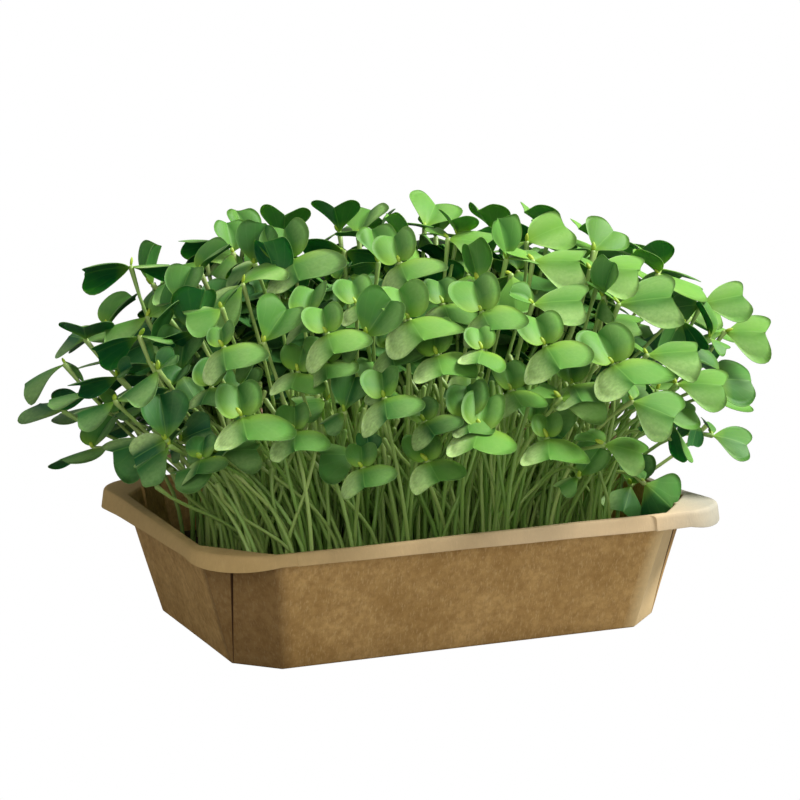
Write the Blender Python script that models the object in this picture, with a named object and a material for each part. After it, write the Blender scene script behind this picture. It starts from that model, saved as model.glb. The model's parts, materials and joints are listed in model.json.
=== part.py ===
"""Microgreens growing in a folded brown-paper tray.

Metres, +Z up. The origin is the middle of the tray's underside, +X runs along the tray's long side.
Seedlings are placed as they stand in a front view, taken from the front left of the tray.
"""
import math
import random

import bmesh
import bpy
from mathutils import Matrix, Vector, noise
from mathutils.bvhtree import BVHTree

MM = 0.001
GAP = 0.3 * MM
UP = Vector((0, 0, 1))

# Tray of folded and pressed board
TRAY_HEIGHT = 39.8 * MM
BOARD = 0.8 * MM
FLOOR_HALF = (72.75 * MM, 44.2 * MM)
FLOOR_CHAMFER = (12.0 * MM, 12.0 * MM)
MOUTH_HALF = (84.0 * MM, 54.3 * MM)
MOUTH_CHAMFER = (17.0 * MM, 19.0 * MM)
RIM_HALF = (87.2 * MM, 55.5 * MM)
RIM_RADII = {"front_right": 13 * MM, "back_right": 20 * MM, "back_left": 12 * MM, "front_left": 22 * MM}
LIP_FLARE = 0.9 * MM
LIP_DROPS = {
    "front_right": 5.0 * MM, "back_right": 5.0 * MM, "back_left": 6.4 * MM, "front_left": 3.8 * MM,
}
CORNER_DIPS = {
    "front_right": 1.4 * MM, "back_right": 0.5 * MM, "back_left": 0.4 * MM, "front_left": 1.4 * MM,
}
RIGHT_BULGE = 2.2 * MM
LEFT_BULGE = 0.9 * MM
EAR_PLACE = 44.0 * MM
EAR_WIDTH = 9.0 * MM
EAR_STARTS = 70.0 * MM
EAR_GROWS = 15.0 * MM
PINCH = 3.4 * MM
PINCH_REACH = 50.0 * MM
FLANGE_PINCH = 1.3 * MM
SLIT_FOOT = 0.035
SLIT_HEAD = 0.44
SLIT_HALF_WIDTH = 0.022
SLIT_DEPTH = 0.55 * MM

# Slab of growing medium
SOIL_TOP = 22.0 * MM
SOIL_RELIEF = 0.7 * MM
SOIL_LUMP = 9.0 * MM
SOIL_MARGIN = 0.8 * MM
SOIL_CELLS = (9, 6)

# Root plugs, one for each tuft
PLUG_COLUMNS = 9
PLUG_ROWS = 6
PLUG_PITCH = (16.6 * MM, 15.4 * MM)
PLUG_SIDES = 6
PLUG_TOP_RADIUS = 4.4 * MM
PLUG_FOOT_RADIUS = 3.7 * MM
PLUG_DEPTH = 5.0 * MM
PLUG_PROUD = 0.9 * MM
POCKET_ABOVE = 2.0 * MM
ROOT_RING = 2.1 * MM
MOST_PER_PLUG = 3

# Seedlings
STEM_RADIUS = 0.85 * MM
STEM_SIDES = 3
STEM_STEPS = 3
STEM_ROOT_DEPTH = 3.5 * MM
STEM_BEND = 0.42
LEAF_THICKNESS = 0.75 * MM
LEAF_LENGTH = 13.6 * MM
LEAF_HALF_WIDTH = 11.0 * MM
LEAF_OFFSET = 0.55 * MM
BUD_HEIGHT = 3.4 * MM
CLEARANCE = 0.35 * MM
FRAME_START = Vector((1, 0.3, 0))

# Front view: where the eye is, and the dome on which the heads sit
VIEW_TURN = math.radians(-22.82)
VIEW_LIFT = math.radians(12.72)
VIEW_DISTANCE = 1229.0 * MM
VIEW_CENTRE = Vector((0.2, 6.3, 69.7)) * MM
DOME_HALF = (110.0 * MM, 71.0 * MM)
DOME_WAIST = 74.0 * MM
DOME_RISE = 50.0 * MM
DOME_FALL = 30.0 * MM
DOME_POWER = 2.4
DOME_DEPTH_STEPS = 110

# Heads on the far side and the top, placed by a seeded draw
SEED = 7
BACK_HEADS = 52
BACK_DRAWS = 6000
BACK_SPACING = 16.0 * MM
BACK_FACING_MOST = 0.27
BACK_LOWEST = -0.35
BACK_OUT_SHARE = 0.6
BACK_TURN = math.radians(45)
BACK_TILT = math.radians(15)
BACK_LEAF_SIZES = (0.75, 1.0)
FRONT_LEAF_SIZES = (0.9, 1.15)
LEAF_RISE = math.radians(50)
LEAF_SINK = math.radians(-11)

# Search for a free way from a plug up to each head
ATTEMPTS = 320
OPENING_STEP = 0.2
OPENING_STEPS = 5
ROOT_SHARE = (0.62, 0.56)
ROOT_WANDER = 16 * MM
HEAD_SLIDE = (0.4 * MM, 34 * MM)
NEARER_SHARE = 0.35
LEAF_SWING = math.radians(70)
HEADING_WANDER = 0.8
WANDER_RISE = 0.3
SHRINK_AFTER = 0.4
SHRINK_RATE = 0.55
DOME_LEAN = 0.9
DOME_UP = 0.25
STEM_PULL = 3.2

# Heads that face the viewer, in millimetres and degrees as read from the front view:
# across, up, further back, turn of the pair, tilt of its right side, size of back leaf, size of front leaf
FACING_HEADS = (
    (0, 44.3, 0, 6, 22, 0.80, 1.05),
    (3, 26, 0, 14, 18, 0.92, 1.10),
    (26.5, 28.5, 0, 8, 22, 0.92, 1.05),
    (-23.5, 21.5, 0, 5, 22, 0.75, 1.00),
    (12, 14.5, 0, 6, 12, 0.80, 0.92),
    (26.5, 16, 2, 8, 8, 0.70, 0.80),
    (-5, 0.5, 0, 0, 18, 0.75, 1.00),
    (8, -7, 6, 12, 16, 0.62, 0.80),
    (26, -9, 0, -12, -8, 0.85, 1.05),
    (9, -20, 0, 15, 22, 0.80, 0.95),
    (-51, -5.5, 0, 5, 18, 0.85, 1.10),
    (47, 17.5, 0, 12, 18, 0.85, 1.10),
    (69, 11.5, 0, 22, 20, 1.00, 1.10),
    (-34, -10, 6, 0, 5, 0.65, 0.85),
    (-7, 4, 14, 10, 5, 0.75, 0.60),
    (-12, -22, 3, 0, 14, 0.60, 0.85),
    (48, -12.5, 5, 0, 5, 0.60, 0.95),
    (-57, 17, 0, 0, 22, 0.55, 1.05),
    (-52, 1.5, 10, -10, 0, 0.80, 0.70),
    (-61, 4, 14, -20, 0, 0.75, 0.70),
    (-14, 31, 4, 10, 5, 0.72, 0.65),
    (-29.5, 27.5, 3, -15, 16, 0.78, 0.85),
    (22, -5.5, 3, 0, 5, 0.85, 0.65),
    (22, 9, 13, 0, 0, 0.60, 0.80),
    (-3, 17, 8, -15, 12, 0.60, 0.85),
    (14, 31, 12, 10, 5, 0.70, 0.80),
    (-24, 12, 8, 0, 14, 0.70, 0.80),
    (36, 3, 12, 15, 5, 0.75, 0.80),
    (-64, -19, 2, -10, 14, 0.60, 0.80),
    (-33, 9, 10, -10, 0, 0.70, 0.80),
    (56, 5, 10, 10, 5, 0.75, 0.85),
    (-35, 45.5, 0, 5, 26, 0.95, 1.10),
)

# Heads at the sides and the top: across, up, further back, then for each of the two leaves its
# direction in the view, how far it points at the viewer, how far its upper face turns to the viewer
# from lying edge on (a leaf turned the other way shows its underside), and its size
AIMED_HEADS = (
    (79, -27, 9, (318, -15, 60, 1.05), (120, -55, 40, 0.45)),
    (-87, 43, 0, (178, 0, -27, 1.00), (8, -5, -24, 0.90)),
    (-80.5, 37.5, 4, (84, 0, 13, 0.90), (262, -35, 20, 0.55)),
    (-63, 45, 0, (182, 10, 20, 1.00), (20, -45, 15, 0.75)),
    (-57, 51, 6, (170, 0, -25, 0.95), (70, -45, 15, 0.60)),
    (-54, 47.5, 2, (100, -20, 60, 0.75), (215, 30, 35, 0.70)),
    (-50.5, 50.5, 8, (96, -10, 45, 0.75), (300, -40, 20, 0.60)),
    (-47, 44, 5, (78, 0, 60, 0.90), (200, -30, 20, 0.70)),
    (-71, 31.5, 6, (75, -15, 65, 0.90), (174, 0, -24, 1.00)),
    (-75, 26, 4, (75, 10, 30, 0.80), (225, 10, 30, 0.60)),
    (-83, 27, 0, (186, 10, 8, 1.00), (28, -15, 35, 0.85)),
    (-101.5, 19.5, 0, (85, 56, -90, 1.00), (268, 10, 12, 0.80)),
    (-84, 20.5, 0, (192, 0, -22, 0.95), (8, -10, -22, 0.70)),
    (-109, 11.5, 0, (196, 5, 4, 0.95), (335, -60, 20, 0.50)),
    (-91, 7.5, 4, (188, -10, -30, 1.00), (100, -30, 40, 0.50)),
    (-99, 3, 2, (186, 0, -4, 1.00), (330, -30, 30, 0.55)),
    (-92, -0.5, 3, (192, 10, 12, 0.85), (25, -40, 20, 0.60)),
    (-78, 9.5, 0, (210, 20, 12, 1.10), (150, -40, 30, 0.60)),
    (-72, 8, 5, (86, -20, 75, 1.00), (300, 20, 40, 0.60)),
    (-81, 11.5, 8, (176, -5, -25, 0.85), (15, -20, -20, 0.75)),
    (-74, 3.5, 10, (176, -10, -20, 0.60), (45, -20, 50, 0.75)),
    (-83, -1.5, 3, (187, 10, 0, 0.95), (35, -40, 30, 0.60)),
    (-75.5, -13, 0, (98, -20, 78, 1.00), (160, -15, 55, 0.85)),
    (-72, -13.5, -3, (35, 20, 45, 0.95), (250, -10, 30, 0.50)),
    (-79.5, -13, -4, (188, 25, 30, 1.20), (130, -50, 25, 0.55)),
    (-74.5, -15, -2, (210, 15, 32, 0.85), (60, -50, 20, 0.50)),
    (-59, -20.5, 0, (188, 10, 20, 0.95), (60, -50, 20, 0.50)),
    (-59, -17, 4, (8, 0, 22, 0.85), (170, -30, 30, 0.60)),
    (-66, 22, 10, (85, -10, -60, 0.95), (200, 0, -30, 0.90)),
    (-44, 18.5, 3, (58, -20, 70, 0.95), (215, -10, 15, 0.80)),
    (-57.5, 29.5, 5, (186, 10, 30, 0.80), (60, -45, 20, 0.60)),
    (-51, 37.5, 2, (215, 20, 40, 1.00), (30, -20, 12, 0.90)),
    (-40, 38, 12, (100, -20, -60, 0.90), (20, -30, -30, 0.80)),
    (-37.5, 50, 4, (88, 30, -85, 1.00), (108, -55, 60, 0.95)),
    (-19.5, 54, 4, (97, 30, -82, 0.95), (78, -55, 60, 0.95)),
    (-13.5, 53, 8, (68, -48, 50, 0.95), (185, -10, -30, 0.60)),
    (-18, 48, 12, (180, -10, -45, 0.85), (0, -10, -45, 0.80)),
    (-7, 44.5, 12, (98, -15, 60, 0.80), (190, -20, -30, 0.60)),
    (1, 49.5, 8, (112, -10, -20, 0.75), (320, -20, 30, 0.60)),
    (8, 55.5, 0, (61, -48, 85, 1.00), (170, -20, -60, 0.55)),
    (15.5, 52, 4, (0, 10, 18, 0.95), (140, -45, 20, 0.50)),
    (30, 47, 8, (112, -10, -35, 0.85), (20, -30, -20, 0.60)),
    (25, 38.5, 12, (98, -20, -50, 0.85), (200, -20, 20, 0.70)),
    (34.5, 45.5, 2, (97, 5, 45, 0.90), (18, -20, 8, 0.75)),
    (41, 51, 5, (28, -10, 35, 0.95), (190, -30, 10, 0.50)),
    (43, 45, 0, (4, 10, 22, 1.05), (140, -50, 20, 0.55)),
    (62.5, 48, 6, (42, -35, 60, 0.85), (160, -10, -35, 0.65)),
    (61.5, 42, 0, (10, 10, 25, 1.05), (135, -45, 20, 0.50)),
    (66, 33.5, 5, (82, 10, 50, 0.80), (250, 10, 30, 0.50)),
    (64, 37.5, 9, (160, -20, -50, 0.75), (20, -30, 20, 0.60)),
    (43, 31, 0, (10, 10, 22, 1.10), (310, 30, 30, 0.55)),
    (36, 40.5, 3, (283, 20, 50, 0.80), (350, -10, 10, 0.85)),
    (71, 31, 0, (14, 10, 25, 1.20), (130, -50, 20, 0.70)),
    (65.5, 27, 4, (4, 10, 12, 1.05), (150, -45, 20, 0.55)),
    (97.5, 31, 0, (14, -5, 25, 1.00), (182, 0, -60, 0.62)),
    (100, 20, 4, (97, 0, 15, 0.85), (200, 30, -40, 0.45)),
    (91, 26, 6, (240, 10, -50, 0.75), (312, 0, -40, 0.80)),
    (105, 22, 0, (5, 5, 28, 0.95), (190, -20, 10, 0.50)),
    (80, 14.5, 4, (8, 0, 20, 1.10), (140, -45, 20, 0.60)),
    (89.5, 5, 0, (8, 10, 28, 1.05), (60, -45, 30, 0.55)),
    (84, 3, 5, (160, 10, 25, 0.80), (20, -50, 20, 0.50)),
    (75, -0.5, 0, (345, 20, 35, 1.00), (110, -45, 30, 0.60)),
    (83, -2, 5, (356, -10, 18, 0.95), (100, -50, 20, 0.50)),
    (88, -12.5, 3, (140, 15, -70, 0.70), (75, -10, -20, 0.40)),
    (87, -6.5, 6, (308, 5, -20, 0.95), (150, -50, 20, 0.40)),
    (96.5, -7.5, 4, (250, 5, -40, 0.50), (190, 0, -50, 0.45)),
    (101, -11.5, 0, (352, 5, 28, 0.85), (110, -50, 20, 0.45)),
    (66, -14.5, 3, (355, 15, 25, 0.90), (140, -40, 20, 0.55)),
    (58, -25, 2, (60, 0, 60, 0.80), (200, 20, 30, 0.50)),
    (76, -28, 1, (74, -15, 78, 0.95), (200, 35, 45, 0.95)),
    (44.5, -8, 0, (88, -25, 80, 1.00), (356, 28, 38, 1.00)),
    (52, 0.5, 8, (8, 0, 20, 0.95), (150, -30, 30, 0.60)),
    (-24.5, -0.5, 0, (176, 15, 25, 0.95), (60, -50, 30, 0.55)),
    (-14, -18.5, -2, (168, 20, 28, 1.00), (60, -50, 30, 0.50)),
    (-10, -19.5, 5, (95, -10, 80, 0.65), (250, -20, 30, 0.50)),
    (-18, -4, 6, (76, -15, 70, 0.85), (230, 20, 30, 0.55)),
    (-11, 20.5, 5, (58, -5, 65, 1.00), (200, -30, 30, 0.60)),
)


def new_material(name, colour, roughness):
    """A plain Principled material with the part's own colour."""
    material = bpy.data.materials.new(name)
    material.use_nodes = True
    shader = material.node_tree.nodes["Principled BSDF"]
    shader.inputs["Base Color"].default_value = (*colour, 1.0)
    shader.inputs["Roughness"].default_value = roughness
    shader.inputs["Metallic"].default_value = 0.0
    material.diffuse_color = (*colour, 1.0)
    return material


def new_object(name, vertices, faces, material=None):
    """A mesh object from its points and faces."""
    mesh = bpy.data.meshes.new(name)
    mesh.from_pydata([tuple(point) for point in vertices], [], faces)
    mesh.update()
    made = bpy.data.objects.new(name, mesh)
    bpy.context.scene.collection.objects.link(made)
    if material is not None:
        mesh.materials.append(material)
    return made


# Tray

CORNERS = (
    ("front_right", 1, -1, False),
    ("back_right", 1, 1, True),
    ("back_left", -1, 1, False),
    ("front_left", -1, -1, True),
)
LONG_SIDE_STEPS = 4
SHORT_SIDE_STEPS = 6
CORNER_STEPS = 3


def corner_fractions(slit):
    """Places along a corner, counted from the short wall, with the slit's two edges and its bottom."""
    before = [(0.0, 0), (slit - SLIT_HALF_WIDTH, 0), (slit, 1), (slit + SLIT_HALF_WIDTH, 0)]
    rest = 1 - slit
    return before + [(slit + rest * step / CORNER_STEPS, 0) for step in range(1, CORNER_STEPS + 1)]


def wall_ring(half, chamfer, height, slit, slit_depth):
    """One level of the walls: an eight-sided ring whose corners carry the slit."""
    ring = []
    for _, sx, sy, starts_at_short_wall in CORNERS:
        at_short_wall = Vector((sx * half[0], sy * (half[1] - chamfer[1]), height))
        at_long_wall = Vector((sx * (half[0] - chamfer[0]), sy * half[1], height))
        inward = Vector((-sx * chamfer[1], -sy * chamfer[0], 0)).normalized()
        points = []
        for fraction, at_slit in corner_fractions(slit):
            points.append(at_short_wall.lerp(at_long_wall, fraction) + inward * slit_depth * at_slit)
        if not starts_at_short_wall:
            points.reverse()
        ring.append(points)
    return close_ring(ring)


def rim_ring(half, radii, heights, dips):
    """One level of the rim: a rounded outline, with its height and its dip at each corner."""
    ring = []
    for name, sx, sy, starts_at_short_wall in CORNERS:
        radius = radii[name]
        centre = Vector((sx * (half[0] - radius), sy * (half[1] - radius), heights[name]))
        count = len(corner_fractions(SLIT_HEAD)) - 1
        points = []
        for step in range(count + 1):
            angle = math.pi / 2 * step / count
            outward = Vector((sx * math.cos(angle), sy * math.sin(angle), 0))
            points.append(centre + outward * radius - UP * dips[name] * math.sin(2 * angle))
        if not starts_at_short_wall:
            points.reverse()
        ring.append(points)
    return close_ring(ring)


def close_ring(corners):
    """Joins four corners with evenly spaced points along the sides between them."""
    ring = []
    for index, points in enumerate(corners):
        ring.extend(points)
        following = corners[(index + 1) % len(corners)][0]
        steps = SHORT_SIDE_STEPS if index % 2 == 0 else LONG_SIDE_STEPS
        ring.extend(points[-1].lerp(following, step / steps) for step in range(1, steps))
    return ring


def pinch_share(y):
    """How far the right wall is pressed in at a place along it, as a share of the most."""
    return (1 - (y / PINCH_REACH) ** 2) ** 2 if abs(y) < PINCH_REACH else 0


def pressed_in(point, flange):
    """The right wall is pressed in at its middle, and the rim bulges a little towards its corners."""
    height_share = max(point.z, 0) / TRAY_HEIGHT
    moved = point.copy()
    if point.x > 0:
        moved.x -= (PINCH * height_share ** 2 + FLANGE_PINCH * flange) * pinch_share(point.y)
    if flange:
        outer = min(max((abs(point.x) - EAR_STARTS) / EAR_GROWS, 0), 1)
        bulge = outer * math.exp(-((abs(point.y) - EAR_PLACE) / EAR_WIDTH) ** 2)
        moved.x += RIGHT_BULGE * bulge if point.x > 0 else -LEFT_BULGE * bulge
    return moved


def level(value):
    """The same value at every corner."""
    return {name: value for name, _, _, _ in CORNERS}


def grown(radii, by):
    """Corner radii made larger or smaller by a length."""
    return {name: radius + by for name, radius in radii.items()}


def build_tray(material):
    """Floor, walls, flange and lip as one closed skin of board."""
    under = TRAY_HEIGHT - BOARD
    lip_foot = {name: TRAY_HEIGHT - drop for name, drop in LIP_DROPS.items()}
    mouth_out = (MOUTH_HALF[0] + BOARD / 4, MOUTH_HALF[1] + BOARD / 4)
    floor_in = (FLOOR_HALF[0] - BOARD / 2, FLOOR_HALF[1] - BOARD / 2)
    fold_in = BOARD * 3 / 4
    flange_under = (RIM_HALF[0] - fold_in, RIM_HALF[1] - fold_in)
    lip_out = (RIM_HALF[0] + LIP_FLARE, RIM_HALF[1] + LIP_FLARE)
    lip_in = (lip_out[0] - BOARD, lip_out[1] - BOARD)
    mouth_in = (MOUTH_HALF[0] - BOARD, MOUTH_HALF[1] - BOARD)
    rings = [
        (wall_ring(FLOOR_HALF, FLOOR_CHAMFER, 0, SLIT_FOOT, 0), 0),
        (wall_ring(mouth_out, MOUTH_CHAMFER, under, SLIT_HEAD, SLIT_DEPTH), 0),
        (rim_ring(flange_under, grown(RIM_RADII, -fold_in), level(under), level(0)), 1),
        (rim_ring(lip_in, grown(RIM_RADII, LIP_FLARE - BOARD), lip_foot, CORNER_DIPS), 1),
        (rim_ring(lip_out, grown(RIM_RADII, LIP_FLARE), lip_foot, CORNER_DIPS), 1),
        (rim_ring(RIM_HALF, RIM_RADII, level(TRAY_HEIGHT), level(0)), 1),
        (wall_ring(mouth_in, MOUTH_CHAMFER, TRAY_HEIGHT, SLIT_HEAD, SLIT_DEPTH), 0),
        (wall_ring(floor_in, FLOOR_CHAMFER, BOARD, SLIT_FOOT, 0), 0),
    ]
    vertices = []
    for ring, flange in rings:
        vertices.extend(pressed_in(point, flange) for point in ring)
    count = len(rings[0][0])
    faces = [tuple(reversed(range(count)))]
    for lower in range(len(rings) - 1):
        for step in range(count):
            following = (step + 1) % count
            faces.append((lower * count + step, lower * count + following,
                          (lower + 1) * count + following, (lower + 1) * count + step))
    last = (len(rings) - 1) * count
    faces.append(tuple(range(last, last + count)))
    tray = new_object("tray", vertices, faces, material)
    triangulate(tray)
    return tray


def triangulate(target):
    """Splits every face into triangles, so that slightly twisted faces stay as they are."""
    shape = bmesh.new()
    shape.from_mesh(target.data)
    bmesh.ops.triangulate(shape, faces=shape.faces)
    bmesh.ops.recalc_face_normals(shape, faces=shape.faces)
    shape.to_mesh(target.data)
    shape.free()


# Growing medium

def inner_half(height):
    """Half-lengths of the tray's inside at a height."""
    share = height / TRAY_HEIGHT
    return [FLOOR_HALF[axis] - BOARD + (MOUTH_HALF[axis] - FLOOR_HALF[axis]) * share for axis in (0, 1)]


def plug_places():
    """Middle points of the root plugs, in staggered rows."""
    places = []
    for row in range(PLUG_ROWS):
        columns = PLUG_COLUMNS - row % 2
        for column in range(columns):
            x = (column - (columns - 1) / 2) * PLUG_PITCH[0]
            y = (row - (PLUG_ROWS - 1) / 2) * PLUG_PITCH[1]
            places.append(Vector((x, y, SOIL_TOP)))
    return places


def plug_mesh(place, grow):
    """A tapered plug of roots, or with a positive growth the pocket that it sits in."""
    vertices = []
    taper = (PLUG_TOP_RADIUS - PLUG_FOOT_RADIUS) / (PLUG_DEPTH + PLUG_PROUD)
    above = POCKET_ABOVE if grow else 0
    ends = ((PLUG_FOOT_RADIUS, -PLUG_DEPTH - grow), (PLUG_TOP_RADIUS + taper * above, PLUG_PROUD + above))
    for radius, height in ends:
        for side in range(PLUG_SIDES):
            angle = 2 * math.pi * side / PLUG_SIDES
            spread = radius + grow
            vertices.append(place + Vector((math.cos(angle) * spread, math.sin(angle) * spread, height)))
    faces = [tuple(reversed(range(PLUG_SIDES))), tuple(range(PLUG_SIDES, 2 * PLUG_SIDES))]
    for side in range(PLUG_SIDES):
        following = (side + 1) % PLUG_SIDES
        faces.append((side, following, PLUG_SIDES + following, PLUG_SIDES + side))
    return vertices, faces


def on_slab(u, v, height, margin):
    """A point of the slab from its shares of the half-lengths, kept inside the cut corners."""
    half = [value - margin for value in inner_half(height)]
    share = height / TRAY_HEIGHT
    cut = [(FLOOR_CHAMFER[axis] + (MOUTH_CHAMFER[axis] - FLOOR_CHAMFER[axis]) * share) / half[axis]
           for axis in (0, 1)]
    limit = cut[0] + cut[1] - cut[0] * cut[1]
    reach = abs(u) * cut[1] + abs(v) * cut[0]
    pull = min(1, limit / reach) if reach else 1
    point = Vector((u * half[0] * pull, v * half[1] * pull, height))
    point.x -= max(u, 0) * PINCH * share * pinch_share(point.y)
    return point


def build_soil(material, places):
    """The slab of growing medium, lumpy on top, with a pocket for each root plug."""
    columns, rows = SOIL_CELLS
    shape = bmesh.new()
    low = []
    high = []
    for row in range(rows + 1):
        low.append([])
        high.append([])
        for column in range(columns + 1):
            u = 2 * column / columns - 1
            v = 2 * row / rows - 1
            low[-1].append(shape.verts.new(on_slab(u, v, BOARD + GAP, SOIL_MARGIN)))
            point = on_slab(u, v, SOIL_TOP, SOIL_MARGIN)
            point.z += SOIL_RELIEF * noise.noise(point / SOIL_LUMP)
            high[-1].append(shape.verts.new(point))
    for row in range(rows):
        for column in range(columns):
            shape.faces.new((high[row][column], high[row][column + 1],
                             high[row + 1][column + 1], high[row + 1][column]))
    border = [(0, column) for column in range(columns)] + [(row, columns) for row in range(rows)]
    border += [(rows, column) for column in range(columns, 0, -1)] + [(row, 0) for row in range(rows, 0, -1)]
    for index, (row, column) in enumerate(border):
        next_row, next_column = border[(index + 1) % len(border)]
        shape.faces.new((low[row][column], low[next_row][next_column],
                         high[next_row][next_column], high[row][column]))
    shape.faces.new([low[row][column] for row, column in reversed(border)])
    bmesh.ops.delete(shape, geom=[vertex for vertex in shape.verts if not vertex.link_faces], context="VERTS")
    bmesh.ops.triangulate(shape, faces=shape.faces)
    mesh = bpy.data.meshes.new("growing_medium")
    shape.to_mesh(mesh)
    shape.free()
    mesh.materials.append(material)
    soil = bpy.data.objects.new("growing_medium", mesh)
    bpy.context.scene.collection.objects.link(soil)
    pockets = [new_object("pocket", *plug_mesh(place, GAP)) for place in places]
    combine(soil, pockets, "DIFFERENCE")
    return soil


def combine(target, others, operation):
    """Applies one Boolean on a collection of objects, and removes them."""
    group = bpy.data.collections.new("combined")
    for other in others:
        for owner in list(other.users_collection):
            owner.objects.unlink(other)
        group.objects.link(other)
    bpy.context.scene.collection.children.link(group)
    boolean = target.modifiers.new("combine", "BOOLEAN")
    boolean.operand_type = "COLLECTION"
    boolean.collection = group
    boolean.operation = operation
    boolean.solver = "MANIFOLD"
    bpy.context.view_layer.update()
    evaluated = target.evaluated_get(bpy.context.evaluated_depsgraph_get())
    mesh = bpy.data.meshes.new_from_object(evaluated)
    target.modifiers.remove(boolean)
    target.data = mesh
    for other in others:
        bpy.data.objects.remove(other)
    bpy.data.collections.remove(group)


# Front view

def view_axes():
    """Directions to the right, up, and towards the viewer in the front view."""
    right = Vector((math.cos(VIEW_TURN), math.sin(VIEW_TURN), 0))
    lifted = math.cos(VIEW_LIFT)
    toward = Vector((math.sin(VIEW_TURN) * lifted, -math.cos(VIEW_TURN) * lifted, math.sin(VIEW_LIFT)))
    return right, toward.cross(right), toward


def seen_at(across, up, depth):
    """The point behind a place in the front view, at a depth from the view's centre."""
    right, upward, toward = view_axes()
    spread = 1 + depth / VIEW_DISTANCE
    return VIEW_CENTRE + (right * across + upward * up) * spread - toward * depth


def dome_value(point):
    """Below 1 inside the dome of heads, above 1 outside it."""
    flat = (point.x / DOME_HALF[0]) ** 2 + (point.y / DOME_HALF[1]) ** 2
    reach = DOME_RISE if point.z > DOME_WAIST else DOME_FALL
    return flat ** (DOME_POWER / 2) + (abs(point.z - DOME_WAIST) / reach) ** DOME_POWER


def dome_depth(across, up):
    """Depth at which the line of sight enters the dome, or passes closest to it."""
    best = None
    for step in range(-DOME_DEPTH_STEPS, DOME_DEPTH_STEPS + 1):
        value = dome_value(seen_at(across, up, step * MM))
        if value < 1:
            return step * MM
        if best is None or value < best[0]:
            best = (value, step * MM)
    return best[1]


def dome_normal(point):
    """Direction straight out of the dome at a point."""
    steps = [Vector([MM if axis == other else 0 for other in range(3)]) for axis in range(3)]
    return Vector([dome_value(point + step) - dome_value(point - step) for step in steps]).normalized()


# Poses of leaves: direction of the midrib, direction of the upper face, size

def facing_pair(out, turn, tilt, back_size, front_size):
    """A back leaf that rises and a front leaf that droops, along the outward direction."""
    flat_out = Vector((out.x, out.y, 0)).normalized()
    heading = Matrix.Rotation(turn, 3, "Z") @ flat_out
    poses = []
    for direction, rise, size in ((-heading, LEAF_RISE, back_size), (heading, LEAF_SINK, front_size)):
        midrib = direction * math.cos(rise) + UP * math.sin(rise)
        face = direction * -math.sin(rise) + UP * math.cos(rise)
        face = Matrix.Rotation(tilt, 3, heading) @ face
        midrib = Matrix.Rotation(tilt / 2, 3, heading) @ midrib
        poses.append((midrib, (face - midrib * face.dot(midrib)).normalized(), size))
    return poses


def aimed_leaf(direction, at_viewer, turned, size):
    """A leaf that points along a direction of the front view."""
    right, _, toward = view_axes()
    level_toward = Vector((toward.x, toward.y, 0)).normalized()
    in_view = right * math.cos(direction) + UP * math.sin(direction)
    beside = UP * math.cos(direction) - right * math.sin(direction)
    if beside.z < 0:
        beside.negate()
    midrib = in_view * math.cos(at_viewer) + level_toward * math.sin(at_viewer)
    to_viewer = level_toward * math.cos(at_viewer) - in_view * math.sin(at_viewer)
    return midrib, beside * math.cos(turned) + to_viewer * math.sin(turned), size


# Shape of one seedling

LEAF_OUTLINE = (
    (0.0, -0.07), (-0.06, -0.58), (0.44, -1.03), (0.97, -0.64), (0.80, 0.0),
    (0.97, 0.64), (0.44, 1.03), (-0.06, 0.58), (0.0, 0.07),
)
SIDE_OUTLINE = (
    (0.0, -0.07), (0.26, -0.58), (0.74, -1.0), (1.06, -0.62), (0.88, 0.0),
    (1.06, 0.62), (0.74, 1.0), (0.26, 0.58), (0.0, 0.07),
)
PLAIN_OUTLINE = (
    (0.0, -0.07), (0.16, -0.96), (0.98, -0.70), (0.82, 0.0), (0.98, 0.70), (0.16, 0.96), (0.0, 0.07),
)
LEAF_HEART = (0.42, 0.0)
LEAF_FOLD = 4.6 * MM
FOLD_DOWN = -0.3
FOLD_UP = 1.1
FOLD_TURNS_FROM = 0.35
FOLD_TURNS_OVER = 0.35
FOLDED_NARROWER = 0.28
LEAF_CURL = 1.3 * MM
LEAF_DROOP = 2.8 * MM


def rising_of(midrib):
    """How far a leaf is one that rises, from not at all to wholly."""
    return min(max((midrib.z - FOLD_TURNS_FROM) / FOLD_TURNS_OVER, 0), 1)


def fold_of(midrib):
    """A leaf that rises is folded up along its midrib, and one that hangs out is folded down."""
    return FOLD_DOWN + (FOLD_UP - FOLD_DOWN) * rising_of(midrib)


def half_width_of(midrib):
    """A leaf that rises is narrower, because its two halves are folded together."""
    return LEAF_HALF_WIDTH * (1 - FOLDED_NARROWER * rising_of(midrib))


def leaf_height(along, aside, fold):
    """The blade is folded at its midrib, curls down at its edges and droops at its tip."""
    return LEAF_FOLD * fold * aside ** 0.8 - LEAF_CURL * aside ** 3 - LEAF_DROOP * along ** 2


def leaf_points(head, pose, outline, thickness):
    """Points of a notched blade: its upper face, then the same points on its lower face."""
    midrib, face, size = pose
    side = face.cross(midrib)
    fold = fold_of(midrib)
    half_width = half_width_of(midrib)
    start = head + midrib * LEAF_OFFSET
    points = []
    for lift in (0.5, -0.5):
        for along, aside in (*outline, LEAF_HEART):
            height = leaf_height(along, abs(aside), fold) * size + lift * thickness
            points.append(start + midrib * along * LEAF_LENGTH * size
                          + side * aside * half_width * size + face * height)
    return points


def leaf_faces(first, count):
    """Both faces of a blade split alike, and its edge, open where it meets the stem."""
    below = count + 1
    faces = []
    for step in range(count):
        following = (step + 1) % count
        faces.append((count, step, following))
        faces.append((below + count, below + following, below + step))
        if following:
            faces.append((step, below + step, below + following))
            faces.append((step, below + following, following))
    return [tuple(first + index for index in face) for face in faces]


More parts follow.
